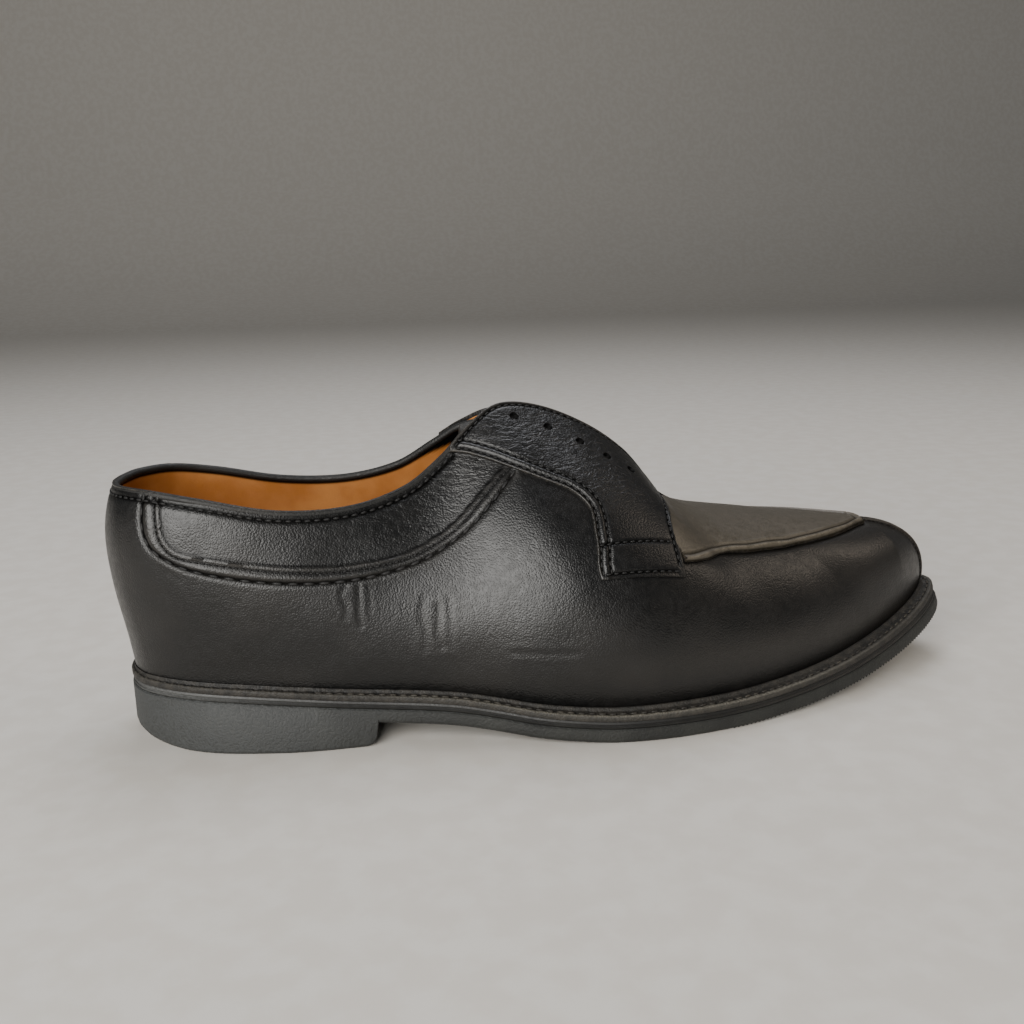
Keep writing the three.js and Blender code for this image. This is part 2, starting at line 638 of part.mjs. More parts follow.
function makeUpper() {
  const sheet = new Sheet();
  for (const side of SIDES) {
    const columns = upperTurns().map((turn) => {
      const edge = read(PANEL, 'turn', 'rise', turn);
      const step = edge + PANEL_RAMP;
      const lower = RIB_SHARES.map((share) => share * edge);
      const higher = RIB_SHARES.map((share) => step + share * (1 - step));
      return [-1, ...lower, ...higher].map((rise) => sheet.point(turn, rise, side));
    });
    sheet.grid(columns, side);
  }
  let geometry = thicken(sheet, () => -WALL, (place) => -panelDepth(place));
  for (const side of SIDES) geometry = cutEyelets(geometry, side);
  return geometry;
}

// Facing: a ruled sheet between its lacing edge and its sewn edge
const FACING_BEND = 0.62;      // share at which the rungs start to turn down to the tab
const FACING_STEPS = { lacing: 12, tab: 13 };
const FACING_COLUMNS = 9;

function facingShares() {
  const { lacing, tab } = FACING_STEPS;
  const upper = Array.from({ length: lacing }, (_, i) => FACING_BEND * i / lacing);
  const lower = Array.from({ length: tab + 1 }, (_, i) => FACING_BEND + (1 - FACING_BEND) * i / tab);
  return [...upper, ...lower];
}

function makeFacing(side) {
  const sheet = new Sheet();
  const rows = facingShares().map((share) => {
    const get = (column) => read(FACING_PLAN, 'share', column, share);
    return Array.from({ length: FACING_COLUMNS + 1 }, (_unused, j) => {
      const part = j / FACING_COLUMNS;
      const turn = THREE.MathUtils.lerp(get('backTurn'), get('edgeTurn'), part);
      const rise = THREE.MathUtils.lerp(get('backRise'), get('edgeRise'), part);
      return sheet.point(turn, Math.min(rise, 1), side);
    });
  });
  sheet.grid(rows, side);
  const geometry = thicken(sheet, () => LAID, () => LAID + FACING);
  return cutEyelets(geometry, side);
}

// Apron: the plug laid on the vamp, its rim raised
const APRON_ROWS = [0, 0.035, 0.09, 0.16, 0.32, 0.52, 0.75, 1];
const RIM_FULL = 0.02;         // rise above the apron's edge up to which its rim has its full height
const RIM_END = 0.045;         // and at which it has run out

function apronTurns() {
  const turns = APRON_PLAN.map(({ turn }) => turn);
  const front = turns.filter((turn) => turn > THROAT_TURN);
  const between = front.slice(1).map((turn, i) => (turn + front[i]) / 2);
  return [...turns, ...between, POLE_TURN].sort((a, b) => a - b);
}

function makeApron() {
  const sheet = new Sheet();
  const lowAt = (turn) => read(APRON_PLAN, 'turn', 'low', turn);
  for (const side of SIDES) {
    const columns = apronTurns().map((turn) => {
      const low = lowAt(turn);
      const high = turn >= THROAT_TURN ? 1 : read(APRON_PLAN, 'turn', 'high', turn);
      return APRON_ROWS.map((share) => sheet.point(turn, low + share * (high - low), side));
    });
    sheet.grid(columns, side);
  }
  const rim = ({ turn, rise }) => APRON_RIM * (1 - smoothstep(RIM_FULL, RIM_END, rise - lowAt(turn)));
  return thicken(sheet, () => LAID, (place) => LAID + APRON + rim(place));
}

// Toe seam: two lips with a split between them, from the apron's tip to the welt
const SEAM_TOP = 0.88;
const SEAM_FOOT = 0.05;
const SEAM_STEPS = 14;
const SEAM_SECTION = [
  { across: 1.0, lift: 0.35 },
  { across: 0.55, lift: 1.0 },
  { across: 0.0, lift: 0.45 },
];

// The turn at which a point of one rise lies this far from the toe's middle rib
function turnBeside(distance, rise, side) {
  const middle = upperPoint(1, rise, side);
  let near = 1;
  let far = POLE_TURN;
  for (let k = 0; k < 24; k += 1) {
    const turn = (near + far) / 2;
    if (upperPoint(turn, rise, side).distanceTo(middle) > distance) far = turn;
    else near = turn;
  }
  return near;
}

function makeToeSeam() {
  const sheet = new Sheet();
  for (const side of SIDES) {
    const columns = SEAM_SECTION.map(({ across, lift }) => (
      Array.from({ length: SEAM_STEPS + 1 }, (_, i) => {
        const rise = THREE.MathUtils.lerp(SEAM_FOOT, SEAM_TOP, i / SEAM_STEPS);
        const turn = across === 0 ? 1 : turnBeside(across * SEAM_WIDTH / 2, rise, side);
        return sheet.point(turn, rise, side, lift * SEAM_LIP);
      })
    ));
    sheet.grid(columns, side);
  }
  return thicken(sheet, () => LAID, ({ lift }) => LAID + lift);
}

// Tongue: follows the inside of the upper, bridges the lacing gap and stands out at the top
const TONGUE_ACROSS = [-1, -0.8, -0.55, -0.3, -0.12, 0, 0.12, 0.3, 0.55, 0.8, 1];
const TONGUE_PLAN = [
  { turn: 0.69, reach: 0.20 },
  { turn: 0.665, reach: 0.24 },
  { turn: 0.64, reach: 0.26 },
  { turn: 0.62, reach: 0.27 },
  { turn: 0.60, reach: 0.27 },
  { turn: 0.575, reach: 0.27 },
  { turn: 0.55, reach: 0.27 },
  { turn: 0.53, reach: 0.27 },
  { turn: 0.515, reach: 0.26 },
];
const TONGUE_TOP_ROWS = 3;
const TONGUE_TOP_STEP = new THREE.Vector3(-0.0195 * LENGTH, 0, -0.014 * INSTEP_HEIGHT);
const TONGUE_TAPER = 0.1;
const TONGUE_CREST = 0.4;      // how far it arches up in the lacing gap, as a share of its slope beside it
const CREST_END = [0.05, 0.02];  // the arch runs out between these turns before the throat

function tongueRow({ turn, reach }) {
  const depth = WALL + TONGUE_ROOM;
  const inside = (across) => {
    const side = across < 0 ? LATERAL : MEDIAL;
    const rise = 1 - Math.abs(across) * reach;
    return upperPoint(turn, rise, side).addScaledVector(upperNormal(turn, rise, side), -depth);
  };
  const row = TONGUE_ACROSS.map((across) => (across === 0 ? null : inside(across)));
  const middle = TONGUE_ACROSS.indexOf(0);
  const [outer, left] = [row[middle - 2], row[middle - 1]];
  const right = row[middle + 1];
  const arch = 1 - smoothstep(THROAT_TURN - CREST_END[0], THROAT_TURN - CREST_END[1], turn);
  row[middle] = left.clone().add(right).multiplyScalar(0.5);
  row[middle].z += TONGUE_CREST * Math.abs(left.z - outer.z) * arch;
  return row;
}

function makeTongue() {
  const rows = TONGUE_PLAN.map(tongueRow);
  const start = rows[rows.length - 1];
  for (let k = 1; k <= TONGUE_TOP_ROWS; k += 1) {
    rows.push(start.map((point) => {
      const moved = point.clone().addScaledVector(TONGUE_TOP_STEP, k);
      moved.y *= 1 - TONGUE_TAPER * k;
      return moved;
    }));
  }
  const width = TONGUE_ACROSS.length;
  const high = rows.flat();
  const low = rows.flatMap((row, i) => row.map((point, j) => {
    const along = rows[Math.min(i + 1, rows.length - 1)][j].clone().sub(rows[Math.max(i - 1, 0)][j]);
    const across = row[Math.min(j + 1, width - 1)].clone().sub(row[Math.max(j - 1, 0)]);
    const normal = across.cross(along).normalize();
    return point.clone().addScaledVector(normal, normal.z > 0 ? -TONGUE : TONGUE);
  }));
  const faces = [];
  for (let i = 0; i + 1 < rows.length; i += 1) {
    for (let j = 0; j + 1 < width; j += 1) {
      const a = i * width + j;
      faces.push([a, a + 1, a + width + 1], [a, a + width + 1, a + width]);
    }
  }
  return closedSolid(high, low, faces);
}

// Scene graph
function part(name, geometry, color, roughness) {
  const material = new THREE.MeshStandardMaterial({ color, roughness, metalness: 0 });
  const mesh = new THREE.Mesh(geometry, material);
  mesh.name = name;
  return mesh;
}

const shoe = new THREE.Group();
shoe.add(
  part('outsole', makeOutsole(), '#2b2c2a', 0.75),
  part('midsole', makeMidsole(), '#161615', 0.6),
  part('welt', makeWelt(), '#3f3a33', 0.8),
  part('insole', makeInsole(), '#a8672f', 0.6),
  part('upper', makeUpper(), '#1c1b1a', 0.45),
  part('apron', makeApron(), '#2a2723', 0.5),
  part('toe_seam', makeToeSeam(), '#2a2723', 0.5),
  part('facing_lateral', makeFacing(LATERAL), '#1e1d1c', 0.45),
  part('facing_medial', makeFacing(MEDIAL), '#1e1d1c', 0.45),
  part('tongue', makeTongue(), '#262422', 0.5),
);

// The origin is the middle of the shoe's footprint, on the floor
const box = new THREE.Box3().setFromObject(shoe);
const centre = box.getCenter(new THREE.Vector3());
shoe.position.set(-centre.x, -centre.y, -box.min.z);

export default shoe;
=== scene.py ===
"""Looks of a split toe derby, the right shoe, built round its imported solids."""

from __future__ import annotations

import logging
import math
from collections.abc import Sequence
from dataclasses import dataclass, field
from enum import Enum

import bmesh
import bpy
import numpy as np
from mathutils import Matrix, Vector

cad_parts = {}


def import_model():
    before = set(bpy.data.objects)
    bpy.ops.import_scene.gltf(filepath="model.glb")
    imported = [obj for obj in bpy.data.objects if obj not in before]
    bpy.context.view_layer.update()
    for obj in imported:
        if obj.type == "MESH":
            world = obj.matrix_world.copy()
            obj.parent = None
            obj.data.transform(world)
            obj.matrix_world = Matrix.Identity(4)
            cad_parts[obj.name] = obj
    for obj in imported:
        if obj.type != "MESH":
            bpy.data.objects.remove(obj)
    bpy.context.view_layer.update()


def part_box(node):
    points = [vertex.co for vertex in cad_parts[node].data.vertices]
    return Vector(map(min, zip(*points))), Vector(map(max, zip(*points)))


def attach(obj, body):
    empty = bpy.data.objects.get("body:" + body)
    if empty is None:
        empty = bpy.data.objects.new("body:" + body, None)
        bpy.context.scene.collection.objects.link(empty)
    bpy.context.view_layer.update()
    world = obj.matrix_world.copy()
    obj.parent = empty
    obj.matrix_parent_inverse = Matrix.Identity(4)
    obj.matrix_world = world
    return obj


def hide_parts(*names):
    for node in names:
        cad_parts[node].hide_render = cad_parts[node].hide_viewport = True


LOG = logging.getLogger("derby")
MM = 0.001
WELD = 2e-6
Array = np.ndarray
Table = dict[str, Array]
Path = list[tuple[float, float]]


class Side(Enum):
    """A side of the right shoe, as the sign of y."""

    LATERAL = -1.0
    MEDIAL = 1.0


SIDES = (Side.LATERAL, Side.MEDIAL)


def table(columns: str, *rows: Sequence[float]) -> Table:
    """Names the columns of rows of numbers.

    Args:
        columns: The names, with spaces between them. The first is the key.
        rows: One row of numbers for each key.

    Returns:
        Each column's numbers under its name.
    """
    return dict(zip(columns.split(), np.array(rows, float).T))


def curve(source: Table, column: str, at: Array) -> Array:
    """Reads a smooth curve through one column of a table.

    Args:
        source: The table.
        column: The column to read.
        at: Where on the key column.

    Returns:
        The values, in the shape of at.
    """
    keys = next(iter(source.values()))
    values = source[column]
    slopes = np.empty_like(values)
    slopes[1:-1] = (values[2:] - values[:-2]) / (keys[2:] - keys[:-2])
    slopes[0] = 1.5 * (values[1] - values[0]) / (keys[1] - keys[0]) - 0.5 * slopes[1]
    slopes[-1] = 1.5 * (values[-1] - values[-2]) / (keys[-1] - keys[-2]) - 0.5 * slopes[-2]
    row = np.clip(np.searchsorted(keys, at, side="right") - 1, 0, len(keys) - 2)
    step = keys[row + 1] - keys[row]
    t = (at - keys[row]) / step
    start = (2 * t**3 - 3 * t**2 + 1) * values[row] + (t**3 - 2 * t**2 + t) * step * slopes[row]
    return start + (3 * t**2 - 2 * t**3) * values[row + 1] + (t**3 - t**2) * step * slopes[row + 1]


def smooth(low: float, high: float, value: Array) -> Array:
    """Rises smoothly from 0 at low to 1 at high."""
    t = np.clip((value - low) / (high - low), 0, 1)
    return t * t * (3 - 2 * t)


def bell(value: Array, centre: Array | float, width: float) -> Array:
    """Gives 1 at the centre, falling like a bell to nothing a few widths away."""
    return np.exp(-(((value - centre) / width) ** 2))


def unit(vectors: Array) -> Array:
    """Scales each vector to length 1."""
    return vectors / np.maximum(np.linalg.norm(vectors, axis=-1, keepdims=True), 1e-12)


def distance(points: Array, line: Array, reach: float = 12.0) -> Array:
    """Measures how far points are from a polyline.

    Args:
        points: The points, in millimetres.
        line: The polyline's corners.
        reach: What is further away than this gets this value.

    Returns:
        One distance for each point.
    """
    flat = points.reshape(-1, 3)
    best = np.full(len(flat), reach)
    near = np.all((flat > line.min(0) - reach) & (flat < line.max(0) + reach), axis=1)
    close = flat[near]
    found = np.full(len(close), reach)
    for start, end in zip(line[:-1], line[1:]):
        run = end - start
        t = np.clip((close - start) @ run / max(run @ run, 1e-12), 0, 1)
        found = np.minimum(found, np.linalg.norm(close - start - t[:, None] * run, axis=1))
    best[near] = found
    return best.reshape(points.shape[:-1])


def inside(polygon: Path, turn: Array, rise: Array) -> Array:
    """Says which places lie inside a polygon that is drawn in turn and rise."""
    result = np.zeros(np.shape(turn), bool)
    for (t0, r0), (t1, r1) in zip(polygon, polygon[1:] + polygon[:1]):
        crosses = (r0 > rise) != (r1 > rise)
        if r0 != r1:
            result ^= crosses & (turn < (t1 - t0) * (rise - r0) / (r1 - r0) + t0)
    return result


def dense(path: Path, count: int = 60) -> tuple[Array, Array]:
    """Draws a smooth curve through a path's corners.

    Args:
        path: Corners in turn and rise.
        count: How many points to make.

    Returns:
        The curve's turns and rises.
    """
    corners = np.array(path, float)
    if len(corners) == 2:
        t = np.linspace(0, 1, count)
        made = corners[0] + t[:, None] * (corners[1] - corners[0])
        return made[:, 0], made[:, 1]
    weights = corners * (2.2, 1.0)
    along = np.concatenate([[0], np.cumsum(np.linalg.norm(np.diff(weights, axis=0), axis=1))])
    source = {"along": along, "turn": corners[:, 0], "rise": corners[:, 1]}
    at = np.linspace(0, along[-1], count)
    return curve(source, "turn", at), curve(source, "rise", at)


SOLE_PLAN = table(
    "turn lateral medial",
    (0.00, 0.000, 0.000), (0.05, 0.093, 0.093), (0.10, 0.172, 0.172), (0.20, 0.283, 0.283),
    (0.30, 0.347, 0.319), (0.36, 0.375, 0.306), (0.42, 0.428, 0.283), (0.48, 0.495, 0.300),
    (0.54, 0.525, 0.370), (0.60, 0.497, 0.440), (0.66, 0.433, 0.477), (0.72, 0.354, 0.468),
    (0.78, 0.262, 0.410), (0.84, 0.170, 0.308), (0.90, 0.083, 0.200), (0.95, 0.020, 0.116),
    (1.00, -0.035, 0.035),
)
SHANK = table(
    "along up",
    (0.00, 1.00), (0.12, 0.92), (0.20, 0.78), (0.28, 0.62), (0.36, 0.50), (0.405, 0.34),
    (0.45, 0.16), (0.52, 0.01), (0.58, -0.01), (1.00, 0.00),
)
FEATHER = table(
    "turn inset",
    (0.00, 0.0125), (0.12, 0.0200), (0.30, 0.031), (0.42, 0.043), (0.54, 0.056), (0.66, 0.062),
    (0.80, 0.060), (1.00, 0.046),
)
TOP_LINE = table(
    "turn along collar lacing back instep",
    (0.00, 0.0148, 0.000, 0, 1.000, 0), (0.05, 0.0194, 0.276, 0, 1.002, 0),
    (0.10, 0.0339, 0.552, 0, 1.007, 0), (0.16, 0.0677, 0.828, 0, 1.002, 0),
    (0.22, 0.1161, 0.964, 0, 0.971, 0), (0.29, 0.1903, 1.000, 0, 0.916, 0),
    (0.35, 0.2645, 0.909, 0, 0.731, 0.149), (0.40, 0.3258, 0.734, 0, 0.485, 0.397),
    (0.44, 0.3677, 0.545, 0, 0.214, 0.702), (0.47, 0.3968, 0.399, 0, 0, 0.948),
    (0.50, 0.4323, 0.180, 0.536, 0, 1.000), (0.53, 0.4742, 0.020, 1.000, 0, 0.987),
    (0.57, 0.5258, 0, 1.000, 0, 0.925), (0.61, 0.5758, 0, 0.929, 0, 0.827),
    (0.64, 0.6058, 0, 0.714, 0, 0.730), (0.66, 0.6242, 0, 0, 0, 0.663),
)
RIDGE = table(
    "turn along instep toe",
    (0.66, 0.6242, 0.663, 0), (0.68, 0.6440, 0.632, 0), (0.70, 0.6690, 0.306, 0.560),
    (0.75, 0.7405, 0, 1.069), (0.80, 0.8150, 0, 1.022), (0.84, 0.8670, 0, 1.000),
)
SECTION = table(
    "turn low lean high fall slope",
    (0.00, 0.36, 84, 0.34, 67, 0), (0.10, 0.36, 84, 0.34, 68, 0), (0.20, 0.35, 82, 0.36, 70, 0),
    (0.30, 0.36, 80, 0.38, 70, 0), (0.36, 0.38, 76, 0.38, 68, 0), (0.42, 0.40, 74, 0.38, 64, 0),
    (0.48, 0.41, 74, 0.38, 52, 0), (0.54, 0.40, 76, 0.38, 38, 0), (0.60, 0.39, 80, 0.40, 26, -0.30),
    (0.66, 0.40, 84, 0.45, 8, -0.50), (0.70, 0.42, 86, 0.51, 2, -0.30),
    (0.75, 0.43, 87, 0.55, 0, -0.15), (0.80, 0.44, 86, 0.57, 0, -0.08),
    (0.84, 0.44, 85, 0.56, 0, -0.08), (0.92, 0.42, 80, 0.53, 0, -0.08),
    (1.00, 0.41, 78, 0.50, 0, -0.08),
)
FACING_PLAN = table(
    "share edge_turn edge_rise back_turn back_rise",
    (0.00, 0.4470, 1.000, 0.4470, 0.982), (0.10, 0.4700, 1.000, 0.4620, 0.930),
    (0.20, 0.4950, 1.000, 0.4780, 0.865), (0.30, 0.5200, 1.000, 0.4970, 0.785),
    (0.40, 0.5500, 1.000, 0.5170, 0.727), (0.50, 0.5800, 1.000, 0.5330, 0.690),
    (0.60, 0.6130, 1.000, 0.5405, 0.645), (0.70, 0.6430, 1.000, 0.5390, 0.600),
    (0.78, 0.6550, 0.955, 0.5350, 0.555), (0.86, 0.6415, 0.820, 0.5300, 0.497),
    (0.93, 0.6135, 0.627, 0.5245, 0.445), (1.00, 0.5930, 0.414, 0.5220, 0.398),
)
APRON_PLAN = table(
    "turn low high",
    (0.602, 0.476, 0.515), (0.614, 0.487, 0.625), (0.630, 0.510, 0.728), (0.643, 0.534, 0.820),
    (0.656, 0.563, 0.950), (0.662, 0.570, 1.0), (0.710, 0.606, 1.0), (0.743, 0.632, 1.0),
    (0.769, 0.675, 1.0), (0.791, 0.738, 1.0), (0.814, 0.816, 1.0), (0.830, 0.866, 1.0),
    (0.845, 0.900, 1.0), (0.865, 0.911, 1.0), (0.930, 0.920, 1.0), (1.000, 0.922, 1.0),
)
TONGUE_PLAN = table(
    "turn reach",
    (0.515, 0.26), (0.55, 0.27), (0.575, 0.27), (0.60, 0.27), (0.62, 0.27), (0.64, 0.26),
    (0.665, 0.24), (0.69, 0.20),
)
BACK_SHARE = np.linspace(0.04, 0.98, 60)
# The turn and rise of each eyelet's centre
EYELETS = ((0.511, 0.946), (0.537, 0.917), (0.563, 0.892), (0.585, 0.872), (0.606, 0.864))
PANEL_EDGE: Path = [
    (0.166, 1.0), (0.167, 0.968), (0.168, 0.884), (0.171, 0.790), (0.179, 0.736), (0.189, 0.714),
    (0.229, 0.706), (0.266, 0.712), (0.301, 0.713), (0.332, 0.710), (0.356, 0.711), (0.385, 0.709),
    (0.411, 0.724), (0.430, 0.736), (0.451, 0.758), (0.473, 0.780), (0.492, 0.800),
]
PANEL_ROW: Path = [
    (0.144, 0.975), (0.144, 0.822), (0.154, 0.729), (0.177, 0.666), (0.205, 0.632), (0.245, 0.622),
    (0.290, 0.628), (0.336, 0.634), (0.367, 0.644), (0.399, 0.659), (0.426, 0.681), (0.456, 0.707),
    (0.477, 0.734), (0.496, 0.771),
]
# Each crease's path in turn and rise, with its depth and width in millimetres
CREASES: tuple[tuple[Path, float, float], ...] = (
    ([(0.335, 0.600), (0.331, 0.550), (0.333, 0.490), (0.330, 0.425)], 0.13, 0.8),
    ([(0.346, 0.600), (0.344, 0.520), (0.342, 0.450), (0.341, 0.375)], 0.17, 0.8),
    ([(0.354, 0.590), (0.352, 0.520), (0.350, 0.455)], 0.07, 0.8),
    ([(0.393, 0.490), (0.387, 0.400), (0.388, 0.330), (0.384, 0.220)], 0.12, 0.9),
    ([(0.402, 0.440), (0.399, 0.370), (0.396, 0.310), (0.397, 0.230)], 0.18, 0.9),
    ([(0.411, 0.455), (0.407, 0.343), (0.403, 0.225)], 0.08, 0.9),
    ([(0.444, 0.196), (0.458, 0.192), (0.470, 0.184), (0.490, 0.180)], 0.17, 0.9),
    ([(0.570, 0.335), (0.565, 0.285), (0.561, 0.235)], 0.10, 0.8),
    ([(0.578, 0.340), (0.572, 0.289), (0.568, 0.232)], 0.10, 0.8),
    ([(0.728, 0.560), (0.697, 0.389), (0.660, 0.165)], 0.09, 0.9),
    ([(0.737, 0.560), (0.714, 0.410), (0.692, 0.250)], 0.11, 0.9),
    ([(0.744, 0.527), (0.721, 0.368), (0.700, 0.255)], 0.07, 0.9),
    ([(0.626, 0.444), (0.633, 0.385), (0.643, 0.343)], 0.07, 0.9),
)


@dataclass
class Last:
    """The form that all the leather lies on, in millimetres from behind the heel.

    turn runs from the back of the heel, 0, to the tip of the toe, 1. rise runs from the welt, 0,
    to the top line or the ridge of the vamp, 1.
    """

    shift: Array
    length: float = 309.0
    ball_width: float = 108.0
    collar_width: float = 61.6
    lacing_gap: float = 8.4
    lacing_tilt: float = 1.8
    back_height: float = 86.8
    instep_height: float = 105.0
    toe_height: float = 55.5
    heel_rise: float = 13.0
    toe_spring: float = 19.0
    roll_start: float = 0.62
    roll_power: float = 2.27
    heel_centre: float = 0.116
    sole_back: float = 4.4
    throat: float = 0.66
    pole: float = 0.84
    welt: float = 2.2
    stack: float = 9.8
    wall: float = 2.4
    wave: float = 0.11

    def sole_x(self, turn: Array) -> Array:
        """Gives the distance from the back at a turn."""
        return self.sole_back + (self.length - self.sole_back) * (1 - np.cos(np.pi * turn)) / 2

    def sole_point(self, turn: Array, side: Array) -> Array:
        """Gives the sole's outline in plan."""
        lateral = curve(SOLE_PLAN, "lateral", turn)
        share = np.where(side < 0, lateral, curve(SOLE_PLAN, "medial", turn))
        return np.stack([self.sole_x(turn), side * self.ball_width * share], -1)

    def toe_rise(self, x: Array) -> Array:
        """Gives the height of the sole's underside under the toe."""
        share = np.maximum(0, (x / self.length - self.roll_start) / (1 - self.roll_start))
        return self.toe_spring * share**self.roll_power

    def tread(self, x: Array) -> Array:
        """Gives the height of the sole's underside without its heel."""
        return np.maximum(0, self.heel_rise * curve(SHANK, "up", x / self.length)) + self.toe_rise(x)

    def edge(self, turn: Array, side: Array, inset: Array) -> Array:
        """Gives a place in plan, some way inside the sole's outline.

        Args:
            turn: Where along the shoe.
            side: -1 or 1.
            inset: How far inside the outline.

        Returns:
            The places' x and y.
        """
        turn, side, inset = np.broadcast_arrays(*(np.asarray(v, float) for v in (turn, side, inset)))
        point = self.sole_point(turn, side)
        ahead = self.sole_point(np.minimum(turn + 1e-3, 1), side)
        along = ahead - self.sole_point(np.maximum(turn - 1e-3, 0), side)
        along = np.where((turn <= 0)[..., None], np.stack([0 * side, side], -1), along)
        along = unit(np.where((turn >= 1)[..., None], np.stack([0 * side, -side], -1), along))
        x = point[..., 0] + side * along[..., 1] * inset
        return np.stack([x, point[..., 1] - side * along[..., 0] * inset], -1)

    def sole_place(self, turn: Array, side: Array, inset: Array, above: Array) -> Array:
        """Gives a place in the sole, square to the rising toe.

        Args:
            turn: Where along the shoe.
            side: -1 or 1.
            inset: How far inside the outline.
            above: How high above the underside.

        Returns:
            The places.
        """
        plan = self.edge(turn, side, inset)
        x = plan[..., 0]
        lean = self.toe_rise(x) - self.toe_rise(x - 1)
        above = above + 0 * x
        return np.stack([x - above * lean, plan[..., 1], self.tread(x) + above], -1)

    def top(self, turn: Array, side: Array) -> Array:
        """Gives the top line, and from the throat on the ridge of the vamp."""
        at = np.minimum(turn, self.throat)
        collar = curve(TOP_LINE, "collar", at) * self.collar_width
        half = np.maximum((collar + curve(TOP_LINE, "lacing", at) * self.lacing_gap) / 2, 0)
        height = curve(TOP_LINE, "back", at) * self.back_height
        height += curve(TOP_LINE, "instep", at) * self.instep_height
        tilt = smooth(0.43, 0.50, at) * (1 - smooth(0.58, self.throat, at))
        height = height - side * self.lacing_tilt * tilt
        line = np.stack([curve(TOP_LINE, "along", at) * self.length, side * half, height], -1)
        on = np.clip(turn, self.throat, self.pole)
        up = curve(RIDGE, "instep", on) * self.instep_height + curve(RIDGE, "toe", on) * self.toe_height
        ridge = np.stack([curve(RIDGE, "along", on) * self.length, 0 * on, up], -1)
        return np.where((turn < self.throat)[..., None], line, ridge)

    def upper(self, turn: Array, rise: Array, side: Array) -> Array:
        """Gives the outer face of the upper. A rise below 0 is the skirt inside the welt.

        Args:
            turn: Where along the shoe.
            rise: How far up the rib.
            side: -1 or 1.

        Returns:
            The places.
        """
        turn, rise, side = np.broadcast_arrays(*(np.asarray(v, float) for v in (turn, rise, side)))
        inset = self.ball_width * curve(FEATHER, "inset", turn)
        foot = self.sole_place(turn, side, inset, self.stack + np.minimum(rise, 0) * self.welt)
        top = self.top(turn, side)
        pole_x = float(curve(RIDGE, "along", np.array(self.pole))) * self.length
        centre = np.clip(self.sole_x(turn), self.heel_centre * self.length, pole_x)
        out = unit(np.stack([foot[..., 0] - centre, foot[..., 1]], -1))
        chord = np.linalg.norm(foot - top, axis=-1)
        lean = np.radians(curve(SECTION, "lean", turn))
        fall = np.radians(curve(SECTION, "fall", turn))
        low = np.stack([np.cos(lean) * out[..., 0], np.cos(lean) * out[..., 1], np.sin(lean)], -1)
        drop = np.cos(fall) * curve(SECTION, "slope", turn) * out[..., 0] - np.sin(fall)
        high = np.stack([np.cos(fall) * out[..., 0], np.cos(fall) * out[..., 1], drop], -1)
        low = foot + low * (chord * curve(SECTION, "low", turn))[..., None]
        high = top + high * (chord * curve(SECTION, "high", turn))[..., None]
        t = np.clip(rise, 0, 1)[..., None]
        start = (1 - t) ** 3 * foot + 3 * (1 - t) ** 2 * t * low
        return start + 3 * (1 - t) * t * t * high + t**3 * top

    def normal(self, turn: Array, rise: Array, side: Array) -> Array:
        """Gives the upper's outward direction. On the ridge both sides share one."""
        turn, rise, side = np.broadcast_arrays(*(np.asarray(v, float) for v in (turn, rise, side)))
        tiny = 2e-3
        low = np.clip(rise, tiny, 1)
        up = self.upper(turn, np.minimum(low + tiny, 1), side)
        up = up - self.upper(turn, np.maximum(low - tiny, 1e-4), side)
        ahead = self.upper(np.minimum(turn + tiny, 1), low, side)
        along = ahead - self.upper(np.maximum(turn - tiny, 0), low, side)
        near = np.clip(turn, tiny, 1 - tiny)
        across = self.upper(near, low, side) - self.upper(near, low, -side)
        ends = ((turn <= 0) | (turn >= 1))[..., None]
        result = unit(np.cross(np.where(ends, across, along), up))
        result = result * (np.where(turn >= 1, side, -side))[..., None]
        after = self.top(np.minimum(turn + tiny, 1), side)
        ridge = unit(after - self.top(np.maximum(turn - tiny, self.throat), side))
        ridge = np.stack([-ridge[..., 2], 0 * turn, ridge[..., 0]], -1)
        flat = unit(np.array([0.08, 0.0, 1.0]))
        ridge = np.where((turn >= self.pole)[..., None], flat, ridge)
        return np.where(((rise >= 1) & (turn >= self.throat))[..., None], ridge, result)

    def relief(self, turn: Array, rise: Array, side: Array) -> Array:
        """Gives the height of the worn leather's waves and creases, shared by all its layers."""
        turn, rise, side = np.broadcast_arrays(*(np.asarray(v, float) for v in (turn, rise, side)))
        at = self.upper(turn, rise, side)
        x, y, z = at[..., 0], at[..., 1], at[..., 2]
        wave = np.sin(x / 11.3 + 0.9 * np.sin(z / 9.1)) * np.sin(z / 8.2 + y / 23.0)
        wave += 0.5 * np.sin(x / 6.1 + z / 7.7 + y / 9.0) + 0.4 * np.sin(x / 3.9 - z / 4.3)
        soft = smooth(0.03, 0.2, rise) * (1 - smooth(0.86, 1.0, rise) * (turn < self.throat))
        height = self.wave * wave * soft
        for path, depth, width in CREASES:
            turns, rises = dense(path, 14)
            for which in SIDES:
                on = side == which.value
                away = distance(at, self.upper(turns, rises, which.value))
                fold = bell(away, 0.0, width) - 0.45 * bell(away, 2.2 * width, width)
                height = height - on * depth * fold
        return height

    def place(self, turn: Array, rise: Array, side: Array, lift: Array) -> Array:
        """Gives places at a height above the upper's smooth face."""
        lift = np.asarray(lift, float)[..., None]
        return self.upper(turn, rise, side) + self.normal(turn, rise, side) * lift

